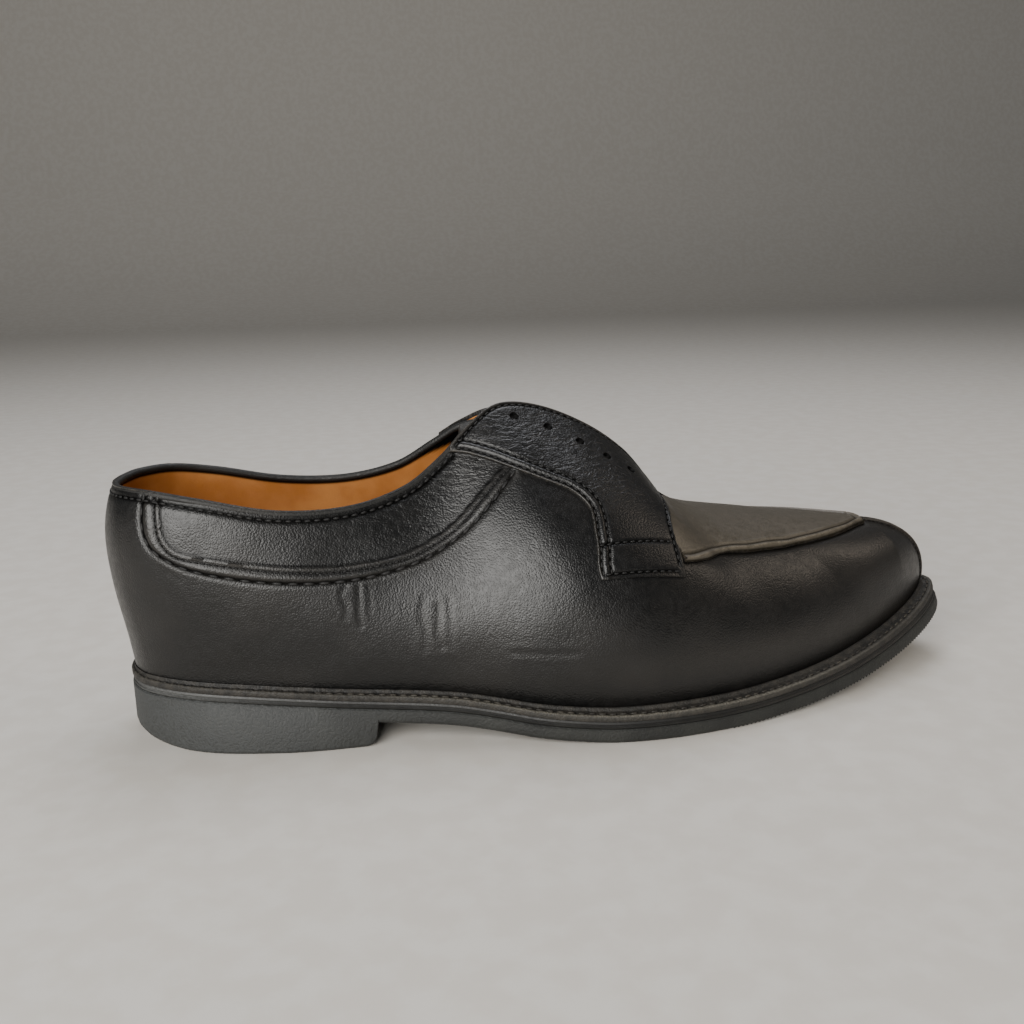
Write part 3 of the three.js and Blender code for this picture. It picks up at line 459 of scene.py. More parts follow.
    def offset(self, turn: Array, rise: Array, side: float, away: float) -> tuple[Array, Array]:
        """Moves a line sideways over the upper.

        Args:
            turn: The line's turns.
            rise: The line's rises.
            side: -1 or 1.
            away: How far, in millimetres. Positive is to the right of the line's run, seen with
                turn to the right and rise upwards.

        Returns:
            The new line's turns and rises.
        """
        tiny = 1e-3
        by_turn = (self.upper(turn + tiny, rise, side) - self.upper(turn - tiny, rise, side)) / (2 * tiny)
        up = np.minimum(rise + tiny, 1)
        by_rise = (self.upper(turn, up, side) - self.upper(turn, up - 2 * tiny, side)) / (2 * tiny)
        run = by_turn * np.gradient(turn)[:, None] + by_rise * np.gradient(rise)[:, None]
        facing = unit(np.cross(by_turn, by_rise))
        step = unit(np.cross(run, facing)) * away
        a = np.sum(by_turn * by_turn, 1)
        b = np.sum(by_turn * by_rise, 1)
        c = np.sum(by_rise * by_rise, 1)
        p = np.sum(step * by_turn, 1)
        q = np.sum(step * by_rise, 1)
        det = a * c - b * b
        return turn + (p * c - q * b) / det, rise + (q * a - p * b) / det

    def world(self, points: Array) -> Array:
        """Turns model millimetres into the frame's metres."""
        return (points + self.shift) * MM


THROAT_REACH = 0.024
THROAT_ROUNDS = 90


def ease_throat(grid: Array, turn: Array, throat: float, share: Array | float = 1.0) -> None:
    """Smooths a grid along the shoe near the throat, where two curves of the form meet.

    Args:
        grid: The points, changed in place. Its first axis runs along the shoe.
        turn: Their turns.
        throat: Where the curves meet.
        share: How much of the smoothing each point gets.
    """
    weight = (0.25 * share * bell(turn, throat, THROAT_REACH))[1:-1, :, None]
    for _ in range(THROAT_ROUNDS):
        grid[1:-1] += weight * (grid[:-2] - 2 * grid[1:-1] + grid[2:])


@dataclass
class Patchwork:
    """Grids of points that become one welded mesh."""

    last: Last
    points: list[Array] = field(default_factory=list)
    faces: list[Array] = field(default_factory=list)
    values: dict[str, list[Array]] = field(default_factory=dict)
    count: int = 0

    def add(self, grid: Array, flip: bool = False, **values: Array) -> None:
        """Adds a grid of points with quads between them.

        Args:
            grid: The points, rows by columns by 3.
            flip: True turns the faces round.
            values: Numbers for each point, kept as attributes of the mesh.
        """
        rows, columns = grid.shape[:2]
        index = self.count + np.arange(rows * columns).reshape(rows, columns)
        ring = [index[:-1, :-1], index[1:, :-1], index[1:, 1:], index[:-1, 1:]]
        quads = np.stack(ring[::-1] if flip else ring, -1).reshape(-1, 4)
        self.points.append(grid.reshape(-1, 3))
        self.faces.append(quads)
        for name in set(self.values) | set(values):
            chunks = self.values.setdefault(name, [np.zeros(self.count)])
            chunks.append(np.broadcast_to(values.get(name, 0.0), (rows, columns)).reshape(-1))
        self.count += rows * columns

    def build(self, name: str, material: bpy.types.Material, sharp: float = 50.0) -> bpy.types.Object:
        """Welds the grids into an object.

        Args:
            name: The piece's name.
            material: Its material.
            sharp: Edges that bend more than this, in degrees, stay sharp.

        Returns:
            The new object, linked to the scene.
        """
        mesh = bpy.data.meshes.new(name)
        points = self.last.world(np.concatenate(self.points))
        mesh.from_pydata(points.tolist(), [], np.concatenate(self.faces).tolist())
        for key, chunks in self.values.items():
            layer = mesh.attributes.new(key, "FLOAT", "POINT")
            layer.data.foreach_set("value", np.concatenate(chunks).astype(np.float32))
        work = bmesh.new()
        work.from_mesh(mesh)
        bmesh.ops.remove_doubles(work, verts=work.verts, dist=WELD)
        bmesh.ops.dissolve_degenerate(work, edges=work.edges, dist=WELD)
        if work.calc_volume(signed=True) < 0:
            bmesh.ops.reverse_faces(work, faces=work.faces)
        work.to_mesh(mesh)
        work.free()
        mesh.polygons.foreach_set("use_smooth", [True] * len(mesh.polygons))
        mesh.set_sharp_from_angle(angle=math.radians(sharp))
        mesh.materials.append(material)
        piece = bpy.data.objects.new(name, mesh)
        bpy.context.scene.collection.objects.link(piece)
        return piece


def enlist(piece: bpy.types.Object, slot: str, *nodes: str) -> None:
    """Hands a finished piece to the frame.

    Args:
        piece: The piece.
        slot: A material slot's name for the piece. Not used.
        nodes: The solids it stands for.
    """
    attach(piece, "root")
    if nodes:
        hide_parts(*nodes)
    LOG.info("%s: %d faces", piece.name, len(piece.data.polygons))


def colour(code: str) -> tuple[float, float, float, float]:
    """Turns an sRGB hex colour into linear values."""
    parts = [int(code[i : i + 2], 16) / 255 for i in (1, 3, 5)]
    linear = [p / 12.92 if p <= 0.04045 else ((p + 0.055) / 1.055) ** 2.4 for p in parts]
    return (*linear, 1.0)


def add_node(tree: bpy.types.NodeTree, kind: str, inputs: dict | None = None, **settings) -> bpy.types.Node:
    """Adds a node with its settings, values and links.

    Args:
        tree: The tree.
        kind: The node's type.
        inputs: A value or another node's output for each input, by name or number.
        settings: The node's own properties.

    Returns:
        The new node.
    """
    made = tree.nodes.new(kind)
    for key, value in settings.items():
        setattr(made, key, value)
    for key, value in (inputs or {}).items():
        if isinstance(value, bpy.types.NodeSocket):
            tree.links.new(value, made.inputs[key])
        else:
            made.inputs[key].default_value = value
    return made


def blend_colour(tree: bpy.types.NodeTree, factor, first, second) -> bpy.types.NodeSocket:
    """Mixes two colours.

    Args:
        tree: The material's tree.
        factor: The share of the second colour.
        first: A colour or an output.
        second: A colour or an output.

    Returns:
        The mixed colour's output.
    """
    return add_node(tree, "ShaderNodeMix", {0: factor, 6: first, 7: second}, data_type="RGBA").outputs[2]


def ranged(tree: bpy.types.NodeTree, value, low: float, high: float, to_low=0.0, to_high=1.0):
    """Maps a value from one range to another, and clamps it.

    Args:
        tree: The material's tree.
        value: The output to map.
        low: Where the range starts.
        high: Where it ends.
        to_low: The result at low.
        to_high: The result at high.

    Returns:
        The mapped output.
    """
    inputs = {0: value, 1: low, 2: high, 3: to_low, 4: to_high}
    return add_node(tree, "ShaderNodeMapRange", inputs, interpolation_type="SMOOTHSTEP").outputs[0]


def maths(tree: bpy.types.NodeTree, operation: str, first, second) -> bpy.types.NodeSocket:
    """Does a sum on two values or outputs."""
    return add_node(tree, "ShaderNodeMath", {0: first, 1: second}, operation=operation).outputs[0]


@dataclass(frozen=True)
class Leather:
    """Pigmented and milled leather: small soft pebbles with fine creases between them."""

    name: str
    base: str = "#080808"
    light: str = "#11100f"
    worn_and_painted_light: str = "#4f4a43"
    dust_and_highlight_tint: str = "#3c3833"
    pebble: float = 0.60
    depth: float = 0.09
    rough: tuple[float, float] = (0.30, 0.42)
    coat: float = 0.06
    sheen: float = 0.0

    def make(self) -> bpy.types.Material:
        """Builds the material."""
        material = bpy.data.materials.new(self.name)
        material.use_nodes = True
        tree = material.node_tree
        tree.nodes.clear()
        at = add_node(tree, "ShaderNodeTexCoord").outputs["Object"]
        broad = add_node(tree, "ShaderNodeTexNoise", {"Vector": at, "Scale": 42, "Detail": 4}).outputs[0]
        fine = add_node(
            tree, "ShaderNodeTexNoise", {"Vector": at, "Scale": 420, "Detail": 5, "Roughness": 0.6}
        ).outputs[0]
        cells = add_node(
            tree,
            "ShaderNodeTexVoronoi",
            {"Vector": at, "Scale": 1 / (self.pebble * MM), "Smoothness": 0.35},
            feature="SMOOTH_F1",
        ).outputs[0]
        wear = add_node(tree, "ShaderNodeAttribute", attribute_name="wear").outputs["Fac"]
        dust = add_node(tree, "ShaderNodeAttribute", attribute_name="dust").outputs["Fac"]
        dark = add_node(tree, "ShaderNodeAttribute", attribute_name="dark").outputs["Fac"]
        tone = blend_colour(tree, ranged(tree, broad, 0.40, 0.66), colour(self.base), colour(self.light))
        # Wear and painted highlight: worn places, and edges and raised bands painted as if they caught the light,
        # are mixed to a lighter colour and made rougher.
        rub_and_painted_light = maths(tree, "MULTIPLY", wear, ranged(tree, fine, 0.34, 0.62, 0.25, 1.0))
        tone = blend_colour(tree, rub_and_painted_light, tone, colour(self.worn_and_painted_light))
        film = maths(tree, "MULTIPLY", dust, ranged(tree, cells, 0.15, 0.75, 0.55, 1.0))
        tone = blend_colour(tree, film, tone, colour(self.dust_and_highlight_tint))
        # Painted shade: seams, grooves and stitch channels are mixed towards black and also lose their gloss and
        # coat. On the lining the same mix paints the top band and top edge near black.
        tone = blend_colour(tree, dark, tone, colour("#050505"))
        gloss = ranged(tree, fine, 0.3, 0.7, self.rough[0], self.rough[1])
        gloss = maths(tree, "ADD", gloss, maths(tree, "MULTIPLY", rub_and_painted_light, 0.12))
        grain = maths(tree, "MULTIPLY", cells, -1.0)
        grain = maths(tree, "ADD", grain, maths(tree, "MULTIPLY", fine, 0.7))
        drawn = add_node(
            tree, "ShaderNodeMapping", {"Vector": at, "Rotation": (0.0, -0.25, 0.0), "Scale": (0.35, 0.6, 1.0)}
        ).outputs[0]
        folds = add_node(
            tree, "ShaderNodeTexNoise", {"Vector": drawn, "Scale": 480, "Detail": 3, "Distortion": 0.35}
        ).outputs[0]
        folds = maths(tree, "ABSOLUTE", maths(tree, "SUBTRACT", folds, 0.5), 0.0)
        folds = maths(tree, "MINIMUM", maths(tree, "MULTIPLY", folds, 9.0), 1.0)
        wrinkle = add_node(tree, "ShaderNodeAttribute", attribute_name="wrinkle").outputs["Fac"]
        drawn_up = maths(tree, "MULTIPLY", maths(tree, "MULTIPLY", folds, wrinkle), 1.1)
        grain = maths(tree, "ADD", grain, drawn_up)
        bump = add_node(
            tree, "ShaderNodeBump", {"Strength": 1.0, "Distance": self.depth * MM, "Height": grain}
        ).outputs[0]
        shader = add_node(
            tree,
            "ShaderNodeBsdfPrincipled",
            {
                "Base Color": tone,
                "Roughness": gloss,
                "Normal": bump,
                "IOR": 1.46,
                # Painted shade also takes the gloss and the coat away.
                "Specular IOR Level": ranged(tree, dark, 0.0, 0.8, 0.55, 0.04),
                "Coat Weight": ranged(tree, dark, 0.0, 0.6, self.coat, 0.0),
                "Coat Roughness": 0.35,
                "Sheen Weight": self.sheen,
                "Sheen Roughness": 0.45,
            },
        )
        add_node(tree, "ShaderNodeOutputMaterial", {"Surface": shader.outputs[0]})
        return material


@dataclass(frozen=True)
class Mass:
    """A solid stuff with a mottled colour and a fine rough surface: rubber, an edge or thread."""

    name: str
    base: str
    light: str
    dust_and_highlight_tint: str = "#6a6459"
    patch: float = 12.0
    grit: float = 0.6
    depth: float = 0.06
    rough: tuple[float, float] = (0.55, 0.75)

    def make(self) -> bpy.types.Material:
        """Builds the material."""
        material = bpy.data.materials.new(self.name)
        material.use_nodes = True
        tree = material.node_tree
        tree.nodes.clear()
        at = add_node(tree, "ShaderNodeTexCoord").outputs["Object"]
        broad = add_node(
            tree, "ShaderNodeTexNoise", {"Vector": at, "Scale": 1 / (self.patch * MM), "Detail": 5}
        ).outputs[0]
        fine = add_node(
            tree, "ShaderNodeTexNoise", {"Vector": at, "Scale": 1 / (self.grit * MM), "Detail": 4}
        ).outputs[0]
        dust = add_node(tree, "ShaderNodeAttribute", attribute_name="dust").outputs["Fac"]
        tone = blend_colour(tree, ranged(tree, broad, 0.38, 0.64), colour(self.base), colour(self.light))
        # Dust, and on the welt's outer top edge a painted highlight, mixes in the lighter tint.
        film = maths(tree, "MULTIPLY", dust, ranged(tree, fine, 0.3, 0.65, 0.45, 1.0))
        tone = blend_colour(tree, film, tone, colour(self.dust_and_highlight_tint))
        gloss = ranged(tree, fine, 0.3, 0.7, self.rough[0], self.rough[1])
        bump = add_node(
            tree, "ShaderNodeBump", {"Strength": 1.0, "Distance": self.depth * MM, "Height": fine}
        ).outputs[0]
        shader = add_node(
            tree, "ShaderNodeBsdfPrincipled", {"Base Color": tone, "Roughness": gloss, "Normal": bump}
        )
        add_node(tree, "ShaderNodeOutputMaterial", {"Surface": shader.outputs[0]})
        return material


@dataclass
class Finishes:
    """All the shoe's materials."""

    grain: bpy.types.Material
    apron: bpy.types.Material
    tongue: bpy.types.Material
    lining: bpy.types.Material
    welt: bpy.types.Material
    edge: bpy.types.Material
    rubber: bpy.types.Material
    thread: bpy.types.Material
    welt_thread: bpy.types.Material

    @classmethod
    def make(cls) -> Finishes:
        """Builds every material."""
        return cls(
            # Black cowhide, milled and pigmented: small soft pebbles with a cool satin gloss
            grain=Leather("milled_black_cowhide").make(),
            # The same hide, rubbed and dusty: browner and lighter, with its pebbles worn flat
            apron=Leather(
                "rubbed_black_cowhide", base="#12100e", light="#26211c", worn_and_painted_light="#7a7163", dust_and_highlight_tint="#4d4639", depth=0.05,
                rough=(0.38, 0.52), coat=0.15,
            ).make(),
            # Soft unpolished hide, dull and slightly grey
            tongue=Leather(
                "soft_black_hide", base="#111110", light="#1f1e1c", depth=0.10, rough=(0.5, 0.65), coat=0.0
            ).make(),
            # Vegetable tanned calf, unpigmented: warm tan, darker towards the bottom and towards the toe
            lining=Leather(
                "tan_lining_calf", base="#a4672f", light="#bd8044", worn_and_painted_light="#7a4a22", dust_and_highlight_tint="#7a4a24",
                pebble=0.8, depth=0.03, rough=(0.45, 0.6), coat=0.05,
            ).make(),
            # Oak tanned strip, wheeled and stitched: dark grey brown and rough on top
            welt=Mass(
                "wheeled_welt_leather", base="#0f0e0d", light="#25221e", dust_and_highlight_tint="#6e6a60", patch=3.0,
                grit=0.7, depth=0.4, rough=(0.55, 0.75),
            ).make(),
            # Trimmed edge with black ink, worn to the grey of the rubber round the heel
            edge=Mass(
                "inked_edge", base="#0a0a09", light="#151513", dust_and_highlight_tint="#4a4b4a", rough=(0.4, 0.6), depth=0.05
            ).make(),
            # Moulded nitrile rubber: matt charcoal with a greenish cast and dust in its grain
            rubber=Mass(
                "moulded_nitrile_rubber", base="#141513", light="#20211e", dust_and_highlight_tint="#383a3a", patch=14.0,
                grit=0.8, depth=0.30,
            ).make(),
            # Bonded nylon thread, black
            thread=Mass("black_bonded_thread", base="#080808", light="#131211", grit=0.3, depth=0.05).make(),
            # Waxed linen thread, dark grey brown with dirt
            welt_thread=Mass("waxed_linen_thread", base="#25221e", light="#3b372f", grit=0.3).make(),
        )


def along_path_tree() -> bpy.types.NodeTree:
    """Builds the rule that sets small rounded bodies along a line, such as stitches or ribs.

    Returns:
        The node tree, with its sizes as inputs.
    """
    tree = bpy.data.node_groups.new("bodies_along_a_line", "GeometryNodeTree")
    tree.interface.new_socket("Geometry", in_out="INPUT", socket_type="NodeSocketGeometry")
    for name in ("Pitch", "Length", "Width", "Height", "Play"):
        tree.interface.new_socket(name, in_out="INPUT", socket_type="NodeSocketFloat")
    tree.interface.new_socket("Seed", in_out="INPUT", socket_type="NodeSocketInt")
    tree.interface.new_socket("Material", in_out="INPUT", socket_type="NodeSocketMaterial")
    tree.interface.new_socket("Geometry", in_out="OUTPUT", socket_type="NodeSocketGeometry")
    given = add_node(tree, "NodeGroupInput").outputs
    line = add_node(tree, "GeometryNodeMeshToCurve", {0: given["Geometry"]}).outputs[0]
    spaced = add_node(
        tree, "GeometryNodeResampleCurve", {"Curve": line, "Length": given["Pitch"]}, mode="LENGTH"
    ).outputs[0]
    ball = add_node(tree, "GeometryNodeMeshUVSphere", {"Segments": 6, "Rings": 5, "Radius": 0.5}).outputs[0]
    size = add_node(
        tree, "ShaderNodeCombineXYZ", {0: given["Length"], 1: given["Width"], 2: given["Height"]}
    ).outputs[0]
    body = add_node(tree, "GeometryNodeTransform", {"Geometry": ball, "Scale": size}).outputs[0]
    tangent = add_node(tree, "GeometryNodeInputTangent").outputs[0]
    turned = add_node(
        tree, "FunctionNodeAlignRotationToVector", {"Vector": tangent}, axis="X"
    ).outputs[0]
    least = add_node(tree, "ShaderNodeMath", {0: 1.0, 1: given["Play"]}, operation="SUBTRACT").outputs[0]
    scale = add_node(
        tree, "FunctionNodeRandomValue", {2: least, 3: 1.0, 8: given["Seed"]}, data_type="FLOAT"
    ).outputs[1]
    set_out = add_node(
        tree,
        "GeometryNodeInstanceOnPoints",
        {"Points": spaced, "Instance": body, "Rotation": turned, "Scale": scale},
    ).outputs[0]
    real = add_node(tree, "GeometryNodeRealizeInstances", {0: set_out}).outputs[0]
    soft = add_node(tree, "GeometryNodeSetShadeSmooth", {0: real}).outputs[0]
    dressed = add_node(
        tree, "GeometryNodeSetMaterial", {"Geometry": soft, "Material": given["Material"]}
    ).outputs[0]
    add_node(tree, "NodeGroupOutput", {0: dressed})
    return tree


def roll_tree() -> bpy.types.NodeTree:
    """Builds the rule that sweeps a round roll along a line.

    Returns:
        The node tree, with its sizes as inputs.
    """
    tree = bpy.data.node_groups.new("roll_along_a_line", "GeometryNodeTree")
    tree.interface.new_socket("Geometry", in_out="INPUT", socket_type="NodeSocketGeometry")
    tree.interface.new_socket("Radius", in_out="INPUT", socket_type="NodeSocketFloat")
    tree.interface.new_socket("Material", in_out="INPUT", socket_type="NodeSocketMaterial")
    tree.interface.new_socket("Geometry", in_out="OUTPUT", socket_type="NodeSocketGeometry")
    given = add_node(tree, "NodeGroupInput").outputs
    line = add_node(tree, "GeometryNodeMeshToCurve", {0: given["Geometry"]}).outputs[0]
    ring = add_node(
        tree, "GeometryNodeCurvePrimitiveCircle", {"Resolution": 12, "Radius": given["Radius"]}
    ).outputs[0]
    swept = add_node(
        tree, "GeometryNodeCurveToMesh", {"Curve": line, "Profile Curve": ring, "Fill Caps": True}
    ).outputs[0]
    soft = add_node(tree, "GeometryNodeSetShadeSmooth", {0: swept}).outputs[0]
    real = add_node(tree, "GeometryNodeRealizeInstances", {0: soft}).outputs[0]
    dressed = add_node(
        tree, "GeometryNodeSetMaterial", {"Geometry": real, "Material": given["Material"]}
    ).outputs[0]
    add_node(tree, "NodeGroupOutput", {0: dressed})
    return tree


def follow(name: str, lines: Sequence[Array], tree: bpy.types.NodeTree, **sizes) -> bpy.types.Object:
    """Makes a piece by running a rule along lines.

    Args:
        name: The piece's name.
        lines: Polylines, in metres.
        tree: The rule.
        sizes: The rule's inputs, by name.

    Returns:
        The piece, as a plain mesh.
    """
    points: list = []
    edges: list = []
    for line in lines:
        start = len(points)
        points += line.tolist()
        edges += [(start + i, start + i + 1) for i in range(len(line) - 1)]
    mesh = bpy.data.meshes.new(name)
    mesh.from_pydata(points, edges, [])
    piece = bpy.data.objects.new(name, mesh)
    bpy.context.scene.collection.objects.link(piece)
    rule = piece.modifiers.new("rule", "NODES")
    rule.node_group = tree
    for item in tree.interface.items_tree:
        if item.item_type == "SOCKET" and item.in_out == "INPUT" and item.name in sizes:
            rule[item.identifier] = sizes[item.name]
    seen = piece.evaluated_get(bpy.context.evaluated_depsgraph_get())
    made = bpy.data.meshes.new_from_object(seen)
    piece.modifiers.remove(rule)
    piece.data = made
    bpy.data.meshes.remove(mesh)
    made.name = name
    return piece


@dataclass
class Seam:
    """One row of stitches on the upper, in model millimetres."""

    line: Array
    pitch: float = 2.5
    length: float = 1.9
    width: float = 0.55


@dataclass
class Workshop:
    """What every sub-assembly needs, and the stitches that they leave to be sewn."""

    last: Last
    finish: Finishes
    bodies: bpy.types.NodeTree
    roll: bpy.types.NodeTree

    def sew(self, name: str, slot: str, seams: Sequence[Seam], material: bpy.types.Material) -> None:
        """Sews rows of stitches as one piece.

        Args:
            name: The piece's name.
            slot: The material slot.
            seams: The rows, all with one size of stitch.
            material: The thread.
        """
        first = seams[0]
        lines = [self.last.world(seam.line) for seam in seams]
        piece = follow(
            name, lines, self.bodies,
            Pitch=first.pitch * MM, Length=first.length * MM, Width=first.width * MM,
            Height=first.width * MM, Play=0.12, Seed=7, Material=material,
        )
        enlist(piece, slot)


@dataclass
class Upper:
    """The shell of vamp and quarters with its collar panel, its lining and its rolled top edge."""

    shop: Workshop
    skin: float = 1.2
    panel_step: float = 0.6
    bead: float = 1.25
    collar_row: float = 3.0
    rise_rows: int = 96
    collar_end: float = 0.452
    roll_end: float = 0.500
    pad: float = 0.35
    row_groove: float = 0.70
    inner_groove: float = 0.34
    band: float = 0.45
    collar_groove: float = 0.50
    apron_groove: float = 0.45

    def columns(self) -> Array:
        """Gives the turns of the shell's columns, with one at the throat and one at the pole."""
        last = self.shop.last
        parts = [
            np.linspace(0, last.throat, 318),
            np.linspace(last.throat, last.pole, 83)[1:],
            np.linspace(last.pole, 1, 51)[1:],
        ]
        return np.concatenate(parts)

    def detail(self, turn: Array, rise: Array, side: Side) -> tuple[Array, dict[str, Array]]:
        """Works out the shell's relief, its wear and dust, and the shade and highlights painted on it.

        Args:
            turn: The grid's turns.
            rise: The grid's rises.
            side: Which side.

        Returns:
            The height of each point above the smooth form, and the values for the material.
        """
        last = self.shop.last
        at = last.upper(turn, rise, side.value)
        height = last.relief(turn, rise, side.value)
        turns, rises = dense(PANEL_EDGE)
        edge = last.upper(turns, np.minimum(rises, 1), side.value)
        away = distance(at, edge, 30.0)
        polygon = list(zip(turns, rises)) + [(0.492, 1.3), (0.166, 1.3)]
        signed = np.where(inside(polygon, turn, rise), away, -away)
        height = height - self.panel_step * smooth(-0.15, 0.55, signed)
        height = height + self.pad * smooth(2.0, 16.0, signed)
        rows = last.upper(*dense(PANEL_ROW), side.value)
        outer = distance(at, rows)
        height = height - self.row_groove * bell(outer, 0.0, 1.05)
        band = bell(signed, -4.0, 1.8) * (rise < 0.95)
        height = height + self.band * band - self.inner_groove * bell(signed, -1.5, 0.75)
        rim = last.upper(np.linspace(0, self.collar_end, 60), 1.0, side.value)
        below = distance(at, rim, 20.0)
        groove = bell(below, self.collar_row, 0.95) + 0.8 * bell(below, 0.9, 0.5)
        height = height - self.collar_groove * groove * (turn < self.collar_end)
        low = np.linspace(0.602, 1, 60)
        apron = last.upper(low, curve(APRON_PLAN, "low", low), side.value)
        near = distance(at, apron)
        height = height - self.apron_groove * bell(near, 0.0, 1.2)
        dust = 0.25 * bell(at[..., 2], 24, 6.0) * smooth(0.4, 0.7, turn)
        dust = dust + 0.30 * smooth(0.50, 0.80, turn) * smooth(0.15, 0.5, rise)
        # Painted highlight and wear: lighter along the panel's edge and on the raised band between its rows. Also
        # lighter along the collar's top edge.
        wear = 0.22 * bell(signed, -0.3, 0.55) + 0.14 * band
        wear = wear + 0.6 * bell(below, 0.0, 0.6) * (turn < self.collar_end)
        # Painted shade: the apron's seam, the step at the panel's edge, the stitch channels and the collar's groove
        # are painted near black.
        dark = 0.7 * bell(near, 0.0, 1.0) + 0.6 * bell(signed, 0.7, 0.5)
        dark = dark + 0.85 * bell(outer, 0.0, 0.85) + 0.8 * groove * (turn < self.collar_end)
        dark = dark + 0.6 * bell(signed, -1.5, 0.6)
        wrinkle = smooth(0.30, 0.40, turn) * smooth(1.0, 5.0, signed)
        values = {"dust": dust, "wear": wear, "dark": np.clip(dark, 0, 0.9), "wrinkle": wrinkle}
        return height, values

    def shell(self) -> None:
        """Builds the closed shell of outer leather."""
        last = self.shop.last
        turns = self.columns()
        rises = np.concatenate([[-1.0], np.linspace(0, 1, self.rise_rows)])
        inner = np.concatenate([[-1.0], np.linspace(0, 1, 9)])
        work = Patchwork(last)
        for side in SIDES:
            flip = side is Side.MEDIAL
            turn, rise = np.meshgrid(turns, rises, indexing="ij")
            height, values = self.detail(turn, rise, side)
            height = np.where(rise < 0, 0, height)
            outer = last.place(turn, rise, side.value, height)
            ease_throat(outer, turn, last.throat, smooth(0, 0.1, rise) * smooth(1, 0.93, rise))
            work.add(outer, flip, **values)
            turn, rise = np.meshgrid(turns, inner, indexing="ij")
            back = last.place(turn, rise, side.value, -self.skin)
            work.add(back, not flip)
            rim = turns <= last.throat + 1e-9
            work.add(np.stack([outer[rim, -1], back[rim, -1]], 1), flip, **{k: 0 for k in values})
            work.add(np.stack([back[:, 0], outer[:, 0]], 1), flip)
        enlist(work.build("upper_shell", self.shop.finish.grain), "upper_leather", "upper")

    def lining(self) -> None:
        """Builds the tan lining inside the shell."""
        last = self.shop.last
        parts = [np.linspace(0, last.throat, 84), np.linspace(last.throat, 1, 44)[1:]]
        turns = np.concatenate(parts)
        rises = np.concatenate([[-1.0], np.linspace(0, 0.86, 27), np.linspace(0.875, 1, 16)])
        turn, rise = np.meshgrid(turns, rises, indexing="ij")
        work = Patchwork(last)
        for side in SIDES:
            flip = side is Side.MEDIAL
            outer = last.place(turn, rise, side.value, -self.skin - 0.05)
            inner = last.place(turn, rise, side.value, -last.wall)
            # The lining is darker towards the bottom and towards the toe.
            wear = 0.5 * smooth(0.2, 0.0, rise) + 0.3 * smooth(0.62, 0.75, turn)
            work.add(outer, flip)
            # The top band and the top edge of the lining are painted near black.
            facing = 0.955 - 0.035 * smooth(0.42, 0.48, turn)
            work.add(inner, not flip, wear=wear, dark=smooth(0, 0.014, rise - facing))
            rim = turns <= last.throat + 1e-9
            work.add(np.stack([outer[rim, -1], inner[rim, -1]], 1), flip, dark=1.0)
            work.add(np.stack([inner[:, 0], outer[:, 0]], 1), flip)
        enlist(work.build("upper_lining", self.shop.finish.lining), "lining_leather")

    def top_roll(self) -> None:
        """Builds the roll round the collar's edge and the stitches under it."""
        last = self.shop.last
        turns = np.linspace(0, self.roll_end, 130)
        sunk = 0.75 + 1.6 * smooth(self.collar_end + 0.01, self.roll_end, turns)
        halves = []
        rows = []
        for side in SIDES:
            top = last.place(turns, 1.0, side.value, -self.skin)
            halves.append(top - sunk[:, None] * np.array([0, 0, 1]))
            row_turn = np.linspace(0, self.collar_end + 0.01, 90)
            tenth = last.upper(row_turn, 1.0, side.value) - last.upper(row_turn, 0.9, side.value)
            reach = np.linalg.norm(tenth, axis=1)
            row_rise = 1 - 0.1 * self.collar_row / reach
            lift = self.detail(row_turn, row_rise, side)[0]
            rows.append(Seam(last.place(row_turn, row_rise, side.value, lift + 0.20), 3.0, 2.4, 0.85))
        line = np.concatenate([halves[0][::-1], halves[1][1:]])
        roll = follow(
            "collar_roll", [last.world(line)], self.shop.roll,
            Radius=self.bead * MM, Material=self.shop.finish.tongue,
        )
        enlist(roll, "upper_leather")
        self.shop.sew("collar_stitches", "upper_leather", rows, self.shop.finish.thread)

    def panel_stitches(self) -> None:
        """Sews the two rows that hold the collar panel."""
        last = self.shop.last
        rows = []
        for side in SIDES:
            for path, away in ((PANEL_EDGE, 1.5), (PANEL_ROW, 0.0)):
                turn, rise = dense(path, 120)
                rise = np.minimum(rise, 0.975)
                if away:
                    turn, rise = last.offset(turn, rise, side.value, away)
                lift = self.detail(turn, rise, side)[0]
                rows.append(last.place(turn, rise, side.value, lift + 0.18))
        thread = self.shop.finish.thread
        fine = [Seam(row, 2.1, 1.5, 0.60) for row in rows[::2]]
        self.shop.sew("panel_edge_stitches", "upper_leather", fine, thread)
        bold = [Seam(row, 4.8, 3.9, 1.10) for row in rows[1::2]]
        self.shop.sew("panel_stitches", "upper_leather", bold, thread)

    def build(self) -> None:
        """Builds every piece of the upper."""
        self.shell()
        self.lining()
        self.top_roll()
        self.panel_stitches()


